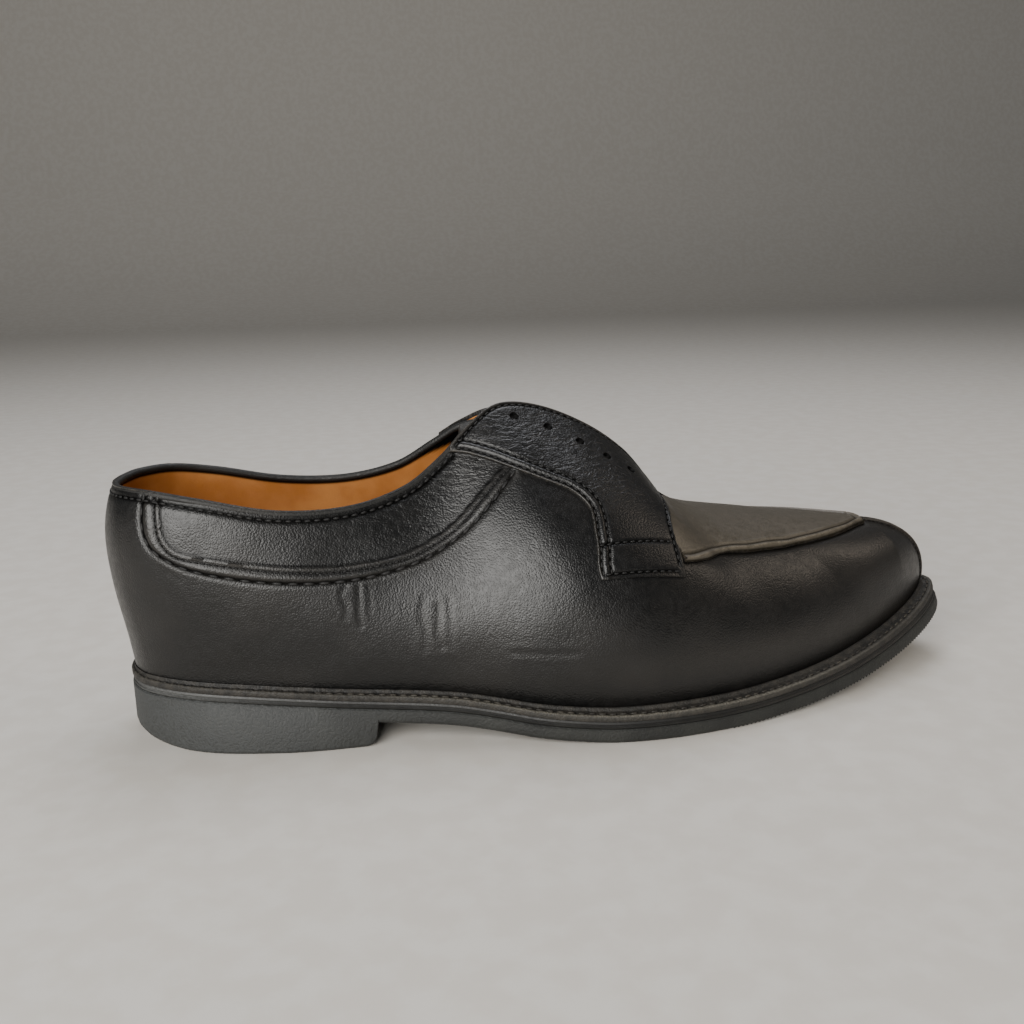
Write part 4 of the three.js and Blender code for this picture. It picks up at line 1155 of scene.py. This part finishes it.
@dataclass
class Facings:
    """The two eyelet facings with their tabs, stitches and punched holes."""

    shop: Workshop
    thickness: float = 1.2
    eyelet: float = 1.6
    sunk: float = 1.2
    back_rows: tuple[float, float] = (1.2, 4.1)
    edge_row: float = 1.6
    front_row: float = 1.7
    groove: float = 0.45
    swell: float = 0.22

    def border(self) -> tuple[Array, Array]:
        """Gives the turns and rises round a facing, from the collar along its lacing edge."""
        share = np.linspace(0, 1, 90)
        edge = [curve(FACING_PLAN, c, share) for c in ("edge_turn", "edge_rise")]
        back = [curve(FACING_PLAN, c, share[::-1]) for c in ("back_turn", "back_rise")]
        turn = np.concatenate([edge[0], back[0], edge[0][:1]])
        return turn, np.minimum(np.concatenate([edge[1], back[1], edge[1][:1]]), 1)

    def rows(self, side: Side) -> list[tuple[Array, Array]]:
        """Gives the turns and rises of a facing's rows of stitches."""
        last = self.shop.last
        share = np.linspace(0.06, 0.97, 90)
        back = curve(FACING_PLAN, "back_turn", share), curve(FACING_PLAN, "back_rise", share)
        found = [last.offset(*back, side.value, -away) for away in self.back_rows]
        share = np.linspace(0.02, 0.70, 90)
        edge = curve(FACING_PLAN, "edge_turn", share), np.minimum(curve(FACING_PLAN, "edge_rise", share), 1)
        found.append(last.offset(*edge, side.value, self.edge_row))
        share = np.linspace(0.74, 0.985, 40)
        front = curve(FACING_PLAN, "edge_turn", share), np.minimum(curve(FACING_PLAN, "edge_rise", share), 1)
        found.append(last.offset(*front, side.value, self.front_row))
        found.append(dense([(0.535, 0.507), (0.596, 0.545)], 20))
        found.append(dense([(0.529, 0.414), (0.587, 0.432)], 20))
        return found

    def height(self, at: Array, turn: Array, rise: Array, side: Side) -> Array:
        """Gives the facing's height above the smooth form.

        Args:
            at: The places on the smooth form.
            turn: Their turns.
            rise: Their rises.
            side: Which side.

        Returns:
            The heights.
        """
        last = self.shop.last
        border = last.upper(*self.border(), side.value)
        near = np.clip(distance(at, border) / 0.7, 0, 1)
        top = 0.62 + 0.38 * np.sqrt(1 - (1 - near) ** 2)
        height = last.relief(turn, rise, side.value) + self.thickness * top
        for row in self.rows(side):
            away = distance(at, last.upper(*row, side.value))
            height = height - self.groove * bell(away, 0.0, 0.65)
        back = curve(FACING_PLAN, "back_turn", BACK_SHARE), curve(FACING_PLAN, "back_rise", BACK_SHARE)
        off = distance(at, last.upper(*back, side.value))
        return height + self.swell * bell(off, 2.7, 1.0)

    def build(self) -> None:
        """Builds both facings and their stitches."""
        last = self.shop.last
        seams = []
        for side in SIDES:
            share = np.unique(np.concatenate([np.linspace(0, 0.66, 150), np.linspace(0.66, 1, 120)]))
            t = np.linspace(0, 1, 76)
            across = 0.5 - 0.5 * np.cos(np.pi * t)
            across = 0.6 * across + 0.4 * t
            columns = [curve(FACING_PLAN, c, share)[:, None] for c in list(FACING_PLAN)[1:]]
            turn = columns[0] + (columns[2] - columns[0]) * across
            rise = np.minimum(columns[1] + (columns[3] - columns[1]) * across, 1)
            at = last.upper(turn, rise, side.value)
            height = self.height(at, turn, rise, side)
            top = last.place(turn, rise, side.value, height)
            low = last.place(turn, rise, side.value, -self.sunk)
            border = distance(at, last.upper(*self.border(), side.value))
            # Painted highlight and wear: a thin lighter line round the facing's border, twice as strong near the
            # top.
            wear = 0.30 * bell(border, 0.0, 0.65) * (1 + smooth(0.8, 0.95, rise))
            # Painted shade in the stitch channels.
            dark = 0 * turn
            for row in self.rows(side):
                away = distance(at, last.upper(*row, side.value))
                dark = dark + 0.85 * bell(away, 0.0, 0.6)
            wrinkle = smooth(0.62, 0.75, rise) * smooth(1.0, 4.0, border)
            work = Patchwork(last)
            flip = side is Side.LATERAL
            work.add(top, flip, wear=wear, dark=np.clip(dark, 0, 0.8), wrinkle=wrinkle)
            work.add(low, not flip)
            for first, second in ((top[:, 0], low[:, 0]), (low[:, -1], top[:, -1])):
                work.add(np.stack([first, second], 1), not flip)
            for first, second in ((low[0], top[0]), (top[-1], low[-1])):
                work.add(np.stack([first, second], 1), not flip)
            name = f"facing_{side.name.lower()}"
            piece = work.build(f"{name}_leather", self.shop.finish.grain)
            self.punch(piece, side)
            enlist(piece, "upper_leather", name)
            for row in self.rows(side):
                place = last.upper(*row, side.value)
                lift = self.height(place, *row, side)
                seams.append(Seam(last.place(*row, side.value, lift + 0.18), 2.6, 2.0, 0.68))
        self.shop.sew("facing_stitches", "upper_leather", seams, self.shop.finish.thread)

    def punch(self, piece: bpy.types.Object, side: Side) -> None:
        """Punches the eyelets through a facing.

        Args:
            piece: The facing.
            side: Which side it is on.
        """
        last = self.shop.last
        work = bmesh.new()
        for turn, rise in EYELETS:
            centre = last.world(last.upper(turn, rise, side.value))
            normal = Vector(last.normal(turn, rise, side.value))
            turned = normal.to_track_quat("Z", "Y").to_matrix().to_4x4()
            bmesh.ops.create_cone(
                work, cap_ends=True, segments=28, radius1=self.eyelet * MM, radius2=self.eyelet * MM,
                depth=12 * MM, matrix=Matrix.Translation(Vector(centre)) @ turned,
            )
        mesh = bpy.data.meshes.new("punch")
        work.to_mesh(mesh)
        work.free()
        tool = bpy.data.objects.new("punch", mesh)
        bpy.context.scene.collection.objects.link(tool)
        cut = piece.modifiers.new("punch", "BOOLEAN")
        cut.operation = "DIFFERENCE"
        cut.solver = "EXACT"
        cut.object = tool
        made = bpy.data.meshes.new_from_object(piece.evaluated_get(bpy.context.evaluated_depsgraph_get()))
        piece.modifiers.remove(cut)
        old = piece.data
        piece.data = made
        bpy.data.meshes.remove(old)
        bpy.data.objects.remove(tool)
        bpy.data.meshes.remove(mesh)
        made.name = piece.name


@dataclass
class Apron:
    """The plug on the vamp with its raised worn rim, and the split seam down the toe."""

    shop: Workshop
    thickness: float = 1.3
    rim: float = 0.65
    rim_groove: float = 0.30
    second_rim: float = 0.16
    lip: float = 0.95
    seam_width: float = 4.4

    def build(self) -> None:
        """Builds the plug and the toe seam."""
        self.plug()
        self.toe_seam()

    def edge(self, side: Side) -> Array:
        """Gives the apron's edge on one side."""
        turn = np.linspace(0.602, 1, 80)
        return self.shop.last.upper(turn, curve(APRON_PLAN, "low", turn), side.value)

    def plug(self) -> None:
        """Builds the plug with its rim."""
        last = self.shop.last
        turns = np.unique(np.concatenate([
            np.linspace(0.602, 0.662, 36), np.linspace(0.662, last.pole, 90), np.linspace(last.pole, 1, 80)
        ]))
        t = np.linspace(0, 1, 54)
        share = 0.45 * t**2 + 0.55 * t**1.35
        share = share / share[-1]
        low = curve(APRON_PLAN, "low", turns)[:, None]
        high = np.interp(turns + 0.003, APRON_PLAN["turn"], APRON_PLAN["high"])[:, None]
        rise = low + (high - low) * share
        rise[:, -1] = high[:, 0]
        turn = turns[:, None] + 0 * rise
        work = Patchwork(last)
        both = [self.edge(side) for side in SIDES]
        tops: list[Array] = []
        bottoms: list[Array] = []
        values: list[dict[str, Array]] = []
        for side in SIDES:
            at = last.upper(turn, rise, side.value)
            away = np.minimum(distance(at, both[0], 30.0), distance(at, both[1], 30.0))
            height = self.thickness * (0.35 + 0.65 * np.sqrt(1 - (1 - np.clip(away / 1.1, 0, 1)) ** 2))
            uneven = away + 0.22 * np.sin(at[..., 0] / 4.1) + 0.12 * np.sin(at[..., 0] / 2.3)
            height += self.rim * bell(uneven, 1.2, 0.75)
            height -= self.rim_groove * bell(uneven, 2.7, 0.55)
            height += self.second_rim * bell(uneven, 3.9, 0.6)
            relief = last.relief(turn, rise, side.value)
            top = last.place(turn, rise, side.value, height + relief)
            bottom = last.place(turn, rise, side.value, -0.35 + 0 * rise)
            wear = 0.70 * bell(uneven, 1.2, 0.7) + 0.18
            wear = wear + 0.25 * bell(uneven, 3.9, 0.5)
            # Painted shade in the groove behind the rim and along the apron's edge, where the rim overhangs the
            # vamp.
            dark = 0.70 * bell(uneven, 2.7, 0.4) + 0.8 * bell(away, 0.0, 0.4)
            dust = 0.75 + 0 * turn
            ease_throat(top, turn, last.throat + 0.004)
            tops.append(top)
            values.append({"wear": wear, "dark": dark, "dust": dust})
            bottoms.append(bottom)
        start = turns <= last.throat + 0.0021
        ridge = (tops[0][:, -1] + tops[1][:, -1]) / 2
        for side, top, bottom, value in zip(SIDES, tops, bottoms, values):
            flip = side is Side.MEDIAL
            top[~start, -1] = ridge[~start] * (1, 0, 1)
            work.add(top, flip, **value)
            work.add(bottom, not flip)
            work.add(np.stack([bottom[:, 0], top[:, 0]], 1), flip)
            work.add(np.stack([top[start, -1], bottom[start, -1]], 1), flip)
            work.add(np.stack([bottom[0], top[0]], 1), not flip)
        enlist(work.build("apron_plug", self.shop.finish.apron), "apron_leather", "apron")

    def toe_seam(self) -> None:
        """Builds the two lips of the split toe."""
        last = self.shop.last
        rises = np.linspace(0.02, 0.905, 80)
        across = np.linspace(-1, 1, 33)
        grid = np.zeros((len(rises), len(across), 3))
        low = np.zeros_like(grid)
        probe = np.linspace(0.90, 1, 41)[::-1]
        width = self.seam_width / 2
        lift = self.lip * np.sqrt(np.maximum(0, 1 - ((np.abs(across) - 0.5) / 0.5) ** 2)) ** 0.8
        wear = np.zeros(grid.shape[:2])
        for i, rise in enumerate(rises):
            for j, a in enumerate(across):
                side = -1.0 if a < 0 else 1.0
                if j in (0, 16):
                    line = last.upper(probe, rise, side)
                    run = np.concatenate([[0], np.cumsum(np.linalg.norm(np.diff(line, axis=0), axis=1))])
                turn = float(np.interp(abs(a) * width, run, probe))
                end = smooth(0.02, 0.05, np.array(rise))
                grid[i, j] = last.place(turn, rise, side, lift[j] * float(end) + 0.05)
                low[i, j] = last.place(turn, rise, side, -0.4)
                wear[i, j] = 0.25 * (lift[j] / self.lip) ** 3
        # Painted shade in the gap between the two lips and along their outer edges.
        dark = bell(across, 0.0, 0.12) * 0.9 + 0.6 * bell(np.abs(across), 1, 0.1)
        work = Patchwork(last)
        work.add(grid, False, wear=wear, dark=dark[None, :] + 0 * wear)
        work.add(low, True)
        work.add(np.stack([low[:, 0], grid[:, 0]], 1), False)
        work.add(np.stack([grid[:, -1], low[:, -1]], 1), False)
        work.add(np.stack([grid[0], low[0]], 1), False)
        work.add(np.stack([low[-1], grid[-1]], 1), False)
        enlist(work.build("toe_seam_lips", self.shop.finish.apron, 70), "apron_leather", "toe_seam")


@dataclass
class Tongue:
    """The tongue under the facings."""

    shop: Workshop
    thickness: float = 2.2
    room: float = 0.98
    crest: float = 0.4

    def sheet(self) -> Array:
        """Gives the tongue's upper face as rows of points, from the foot to the free top."""
        last = self.shop.last
        across = np.array([-1, -0.8, -0.55, -0.3, -0.12, 0, 0.12, 0.3, 0.55, 0.8, 1])
        rows = []
        for turn in (0.69, 0.665, 0.64, 0.62, 0.60, 0.575, 0.55, 0.53, 0.515):
            reach = float(curve(TONGUE_PLAN, "reach", np.array(turn)))
            side = np.where(across < 0, -1.0, 1.0)
            row = last.place(turn, 1 - np.abs(across) * reach, side, -(last.wall + self.room) + 0 * across)
            arch = 1 - float(smooth(last.throat - 0.05, last.throat - 0.02, np.array(turn)))
            row[5] = (row[4] + row[6]) / 2
            row[5, 2] += self.crest * abs(row[4, 2] - row[2, 2]) * arch
            rows.append(row)
        step = np.array([-0.0195 * last.length, 0, -0.014 * last.instep_height])
        head = rows[-1]
        for k in (1, 2, 3):
            rows.append((head + step * k) * np.array([1, 1 - 0.1 * k, 1]))
        return np.array(rows)

    def refine(self, grid: Array, count: int, axis: int) -> Array:
        """Draws smooth curves through a grid along one axis."""
        moved = np.moveaxis(grid, axis, 0)
        keys = np.arange(len(moved), dtype=float)
        at = np.linspace(0, len(moved) - 1, count)
        flat = moved.reshape(len(moved), -1)
        columns = [curve({"key": keys, "value": flat[:, i]}, "value", at) for i in range(flat.shape[1])]
        return np.moveaxis(np.array(columns).T.reshape((count,) + moved.shape[1:]), 0, axis)

    def build(self) -> None:
        """Builds the tongue."""
        last = self.shop.last
        face = self.refine(self.refine(self.sheet(), 84, 0), 64, 1)
        run = np.gradient(face, axis=0)
        over = np.gradient(face, axis=1)
        normal = unit(np.cross(over, run))
        normal *= np.sign(normal[..., 2:3] + 1e-9)
        length = np.linalg.norm(run, axis=-1)
        to_top = np.cumsum(length[::-1], axis=0)[::-1]
        from_side = np.minimum(np.cumsum(np.linalg.norm(over, axis=-1), 1),
                               np.cumsum(np.linalg.norm(over, axis=-1)[:, ::-1], 1)[:, ::-1])
        near = np.clip(np.minimum(to_top, from_side) / 0.9, 0, 1)
        edge = (self.thickness / 2) * (1 - np.sqrt(1 - (1 - near) ** 2)) * 0.8
        top = face - normal * edge[..., None]
        low = face - normal * (self.thickness - edge)[..., None]
        wear = 0.55 * bell(to_top, 0.0, 1.2)
        work = Patchwork(last)
        work.add(top, False, wear=wear)
        work.add(low, True)
        for first, second in ((low[:, 0], top[:, 0]), (top[:, -1], low[:, -1])):
            work.add(np.stack([first, second], 1), False)
        for first, second in ((top[0], low[0]), (low[-1], top[-1])):
            work.add(np.stack([first, second], 1), False)
        enlist(work.build("tongue_leather_flap", self.shop.finish.tongue), "tongue_leather", "tongue")


@dataclass
class Sole:
    """The welt, the midsole, the rubber outsole with its heel, and the insole."""

    shop: Workshop
    outsole: float = 5.0
    midsole: float = 2.0
    gap: float = 0.3
    ease: float = 0.5
    round: float = 1.8
    bevel: float = 3.4
    heel_length: float = 85.6
    flare: float = 3.0
    breast: float = 4.0
    insole: float = 3.6
    rib_pitch: float = 5.2
    rib_depth: float = 0.9
    tooth_pitch: float = 1.65

    def slab(self, name: str, turns: Array, sides: list[Array], material: bpy.types.Material,
             pattern: Array | None = None, across: int = 24, **values: Array) -> bpy.types.Object:
        """Builds a closed layer of the sole from its two side walls.

        Args:
            name: The piece's name.
            turns: The stations. Not used.
            sides: The lateral and the medial wall, stations by rows by 3, from low to high.
            material: Its material.
            pattern: How far the underside is hollowed at each station and place across.
            across: How many strips make the flat faces.
            values: Numbers for each station and row, for the material.

        Returns:
            The object.
        """
        work = Patchwork(self.shop.last)
        work.add(sides[0], False, **values)
        work.add(sides[1], True, **values)
        t = np.linspace(0, 1, across + 1)[None, :, None]
        for row, flip in ((0, False), (-1, True)):
            left = sides[0][:, row][:, None]
            right = sides[1][:, row][:, None]
            flat = left + (right - left) * t
            if row == 0 and pattern is not None:
                flat[..., 2] += pattern
            work.add(flat, flip)
        return work.build(name, material, 35)

    def make_outsole(self) -> None:
        """Builds the outsole with its heel, its ribbed tread and the serrated toe edge."""
        last = self.shop.last
        turns = np.linspace(0, 1, 520)
        x = last.sole_x(turns)
        heel = x < self.heel_length
        size = self.round + self.bevel * (1 - smooth(0.04, 0.18, turns))
        rows = [(1, 0), (0.62, 0.08), (0.3, 0.3), (0.08, 0.62), (0, 0.95)]
        sides = []
        flare = self.flare * smooth(0.08, 0.22, turns) * (1 - smooth(0.27, 0.36, turns))
        corner = np.clip((x - self.heel_length + self.breast) / self.breast, 0, 1)
        raised = self.breast * (1 - np.sqrt(1 - np.minimum(corner, 0.98) ** 2))
        for side in SIDES:
            wall = []
            for inset, up in rows:
                place = last.sole_place(turns, side.value, inset * size, up * size)
                flat = last.edge(turns, side.value, inset * size - flare)
                on_floor = np.stack([flat[:, 0], flat[:, 1], up * size + raised], -1)
                wall.append(np.where(heel[:, None], on_floor, place))
            for share in (0.6, 1.0):
                lower = wall[4]
                upper = last.sole_place(turns, side.value, 0.0, self.outsole - self.ease)
                wall.append(lower + (upper - lower) * share)
            wall.append(last.sole_place(turns, side.value, self.ease, self.outsole))
            sides.append(np.stack(wall, 1))
        across = 40
        t = np.linspace(0, 1, across + 1)[None, :]
        width = np.linalg.norm(sides[0][:, 0] - sides[1][:, 0], axis=1)[:, None]
        from_side = np.minimum(t, 1 - t) * width
        field_x = np.maximum(smooth(166, 170, x) * smooth(300, 294, x), smooth(10, 13, x) * smooth(74, 71, x))
        ribs = smooth(0.42, 0.5, np.abs((x / self.rib_pitch) % 1 - 0.5) * 2 * 0.9)
        pattern = self.rib_depth * (field_x * ribs)[:, None] * smooth(5.5, 7.0, from_side)
        dust = np.stack([0.85 * np.exp(-((turns / 0.36) ** 4)) + 0.12] * sides[0].shape[1], 1)
        piece = self.slab("rubber_outsole", turns, sides, self.shop.finish.rubber, pattern, across, dust=dust)
        enlist(piece, "sole_rubber", "outsole")
        lines = []
        for side in SIDES:
            span = np.linspace(0.60, 0.93, 260)
            lines.append(last.world(last.sole_place(span, side.value, 0.45, 0.95 + 0 * span)))
        piece = follow(
            "tread_serrations", lines, self.shop.bodies, Pitch=self.tooth_pitch * MM, Length=0.95 * MM,
            Width=0.6 * MM, Height=1.6 * MM, Play=0.05, Seed=3, Material=self.shop.finish.rubber,
        )
        enlist(piece, "sole_rubber")

    def make_midsole(self) -> None:
        """Builds the midsole with the groove round its edge."""
        last = self.shop.last
        turns = np.linspace(0, 1, 420)
        base = self.outsole + self.gap
        rows = [(0.6, -0.25), (0.35, 0.1), (0.3, 0.5), (0.65, 0.85), (0.65, 1.05), (0.3, 1.4),
                (0.35, 1.9), (0.6, 2.25)]
        sides = [
            np.stack(
                [last.sole_place(turns, side.value, inset, base + up + 0 * turns) for inset, up in rows], 1
            )
            for side in SIDES
        ]
        grey = np.stack([1 - smooth(0.10, 0.34, turns) * 0.95] * len(rows), 1)
        grey = grey * smooth(0.02, 0.10, turns)[:, None]
        piece = self.slab("midsole_band", turns, sides, self.shop.finish.edge, across=8, dust=grey)
        enlist(piece, "midsole", "midsole")

    def make_welt(self) -> None:
        """Builds the welt with its bead and its stitches."""
        last = self.shop.last
        turns = np.linspace(0, 1, 620)
        depth = last.ball_width * curve(FEATHER, "inset", turns) - 0.1
        rows = [
            (1, -2.2, 0), (0, -2.2, 0.35), (0, -1.9, 0.05), (0, -0.5, 0), (0, -0.15, 0.15),
            (0, 0, 0.5), (0.14, 0.0, 0.5), (0.22, -0.18, 0.4), (0.34, -0.30, 0), (0.46, -0.18, 0),
            (0.56, -0.02, 0), (0.66, -0.02, 0), (0.70, 0.15, 0), (0.74, 0.85, 0),
            (0.80, 1.15, 0), (0.88, 1.15, 0), (0.94, 0.8, 0), (1, 0.3, 0),
        ]
        work = Patchwork(last)
        rough = np.sin(np.arange(620) * 1.9) * 0.05 + np.sin(np.arange(620) * 0.77 + 1) * 0.05
        for side in SIDES:
            section = []
            for across, up, inset in rows:
                bite = rough * 2 if 0.1 < across < 0.7 else 0
                section.append(
                    last.sole_place(turns, side.value, across * depth + inset, last.stack + up + bite)
                )
            grid = np.stack(section + section[:1], 1)
            # Painted highlight and wear: the outer top edge of the welt gets the most of the lighter dust tint.
            worn_and_painted_light = [0.05, 0.1, 0.12, 0.2, 0.6, 0.9, 0.5, 0.1] + [0.08] * (len(rows) - 7)
            rub_and_painted_light = 0.30 + 0.70 * smooth(0.30, 0.50, turns) * smooth(0.80, 0.62, turns)
            dust = np.stack([share * rub_and_painted_light for share in worn_and_painted_light], 1)
            work.add(grid, side is Side.MEDIAL, dust=dust)
        enlist(work.build("stitched_welt", self.shop.finish.welt, 60), "welt_leather", "welt")
        seams = []
        for side in SIDES:
            span = turns[turns > 0.30]
            depth = last.ball_width * curve(FEATHER, "inset", span) - 0.1
            line = last.sole_place(span, side.value, 0.34 * depth, last.stack - 0.02 + 0 * span)
            seams.append(Seam(line, pitch=3.4, length=2.9, width=0.8))
        self.shop.sew("welt_stitches", "welt_leather", seams, self.shop.finish.welt_thread)

    def make_insole(self) -> None:
        """Builds the insole that shows inside as the tan sock."""
        last = self.shop.last
        turns = np.linspace(0, 1, 200)
        inset = last.ball_width * curve(FEATHER, "inset", turns) + last.wall + self.gap
        base = last.stack - last.welt
        rows = [(0, 0.0), (0, self.insole - 0.8), (0.25, self.insole - 0.25), (0.8, self.insole)]
        sides = [
            np.stack([last.sole_place(turns, side.value, inset + more, base + up) for more, up in rows], 1)
            for side in SIDES
        ]
        piece = self.slab("insole_sock", turns, sides, self.shop.finish.lining, across=16)
        enlist(piece, "lining_leather", "insole")

    def build(self) -> None:
        """Builds every layer of the sole."""
        self.make_outsole()
        self.make_midsole()
        self.make_welt()
        self.make_insole()


@dataclass
class Studio:
    """The pale floor, the soft lights and the camera."""

    eye: tuple[float, float, float] = (-0.0805, -0.3746, 0.158)
    yaw: float = 9.8
    pitch: float = 13.4
    roll: float = -1.5
    lens: float = 38.67

    def camera(self) -> None:
        """Places the camera at the photograph's viewing angle."""
        yaw, pitch, roll = (math.radians(v) for v in (self.yaw, self.pitch, self.roll))
        ahead = Vector((math.sin(yaw) * math.cos(pitch), math.cos(yaw) * math.cos(pitch), -math.sin(pitch)))
        right = Vector((math.cos(yaw), -math.sin(yaw), 0))
        up = right.cross(ahead)
        tilted = math.cos(roll) * right + math.sin(roll) * up
        upright = -math.sin(roll) * right + math.cos(roll) * up
        data = bpy.data.cameras.new("camera")
        data.lens = self.lens
        data.sensor_width = 36
        data.clip_start = 0.01
        camera = bpy.data.objects.new("camera", data)
        turned = Matrix((tilted, upright, -ahead)).transposed().to_4x4()
        camera.matrix_world = Matrix.Translation(self.eye) @ turned
        bpy.context.scene.collection.objects.link(camera)
        bpy.context.scene.camera = camera

    def light(self, name: str, place: tuple, target: tuple, size: float, power: float, tint: str) -> None:
        """Hangs a square soft light.

        Args:
            name: Its name.
            place: Where it hangs.
            target: Where it points.
            size: Its width.
            power: Its power in watts.
            tint: Its colour.
        """
        data = bpy.data.lights.new(name, "AREA")
        data.size = size
        data.energy = power
        data.color = colour(tint)[:3]
        lamp = bpy.data.objects.new(name, data)
        lamp.location = place
        lamp.rotation_mode = "QUATERNION"
        lamp.rotation_quaternion = (Vector(target) - Vector(place)).to_track_quat("-Z", "Y")
        bpy.context.scene.collection.objects.link(lamp)

    def floor(self) -> None:
        """Lays the floor and the backdrop."""
        profile = [(-3.0, 0.0), (2.2, 0.0), (2.6, 0.08), (2.9, 0.35), (3.0, 0.8), (3.0, 3.0)]
        points = [(x, y, z) for y, z in profile for x in (-4.0, 4.0)]
        faces = [(2 * i, 2 * i + 1, 2 * i + 3, 2 * i + 2) for i in range(len(profile) - 1)]
        mesh = bpy.data.meshes.new("floor")
        mesh.from_pydata(points, [], faces)
        mesh.polygons.foreach_set("use_smooth", [True] * len(faces))
        # Matt painted board: pale and even, with a soft shadow under the shoe
        mesh.materials.append(
            Mass("matt_painted_board", base="#cfcac2", light="#d4d0c9", dust_and_highlight_tint="#cfcac2", depth=0.01,
                 rough=(0.8, 0.9)).make()
        )
        floor = bpy.data.objects.new("floor", mesh)
        bpy.context.scene.collection.objects.link(floor)

    def build(self) -> None:
        """Sets up the whole studio."""
        self.camera()
        self.floor()
        world = bpy.data.worlds.new("studio")
        world.use_nodes = True
        world.node_tree.nodes["Background"].inputs["Color"].default_value = colour("#dfe3e8")
        world.node_tree.nodes["Background"].inputs["Strength"].default_value = 0.14
        bpy.context.scene.world = world
        self.light("window", (-0.80, -1.15, 0.52), (-0.02, 0, 0.05), 1.25, 42, "#f8f6f2")
        self.light("top", (0.10, 0.45, 1.2), (0, 0, 0.05), 0.8, 9, "#f4f5fa")
        self.light("side", (1.0, -0.25, 0.75), (0.05, 0, 0.04), 0.5, 2.0, "#ffeeda")


def main() -> None:
    """Builds the shoe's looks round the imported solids."""
    logging.basicConfig(level=logging.INFO, format="%(name)s: %(message)s")
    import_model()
    studio = Studio()
    studio.build()
    low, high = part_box("outsole")
    form = Last(np.zeros(3))
    turns = np.linspace(0, 1, 2001)
    outline = np.concatenate([form.sole_point(turns, side.value + 0 * turns)[:, 1] for side in SIDES])
    middle = (outline.min() + outline.max()) / 2
    shift = np.array([low.x / MM - form.sole_back, (low.y + high.y) / 2 / MM - middle, 0.0])
    shop = Workshop(Last(shift), Finishes.make(), along_path_tree(), roll_tree())
    for part in (Upper(shop), Facings(shop), Apron(shop), Tongue(shop), Sole(shop)):
        part.build()
        LOG.info("%s built", type(part).__name__)


if __name__ == "__main__":
    main()
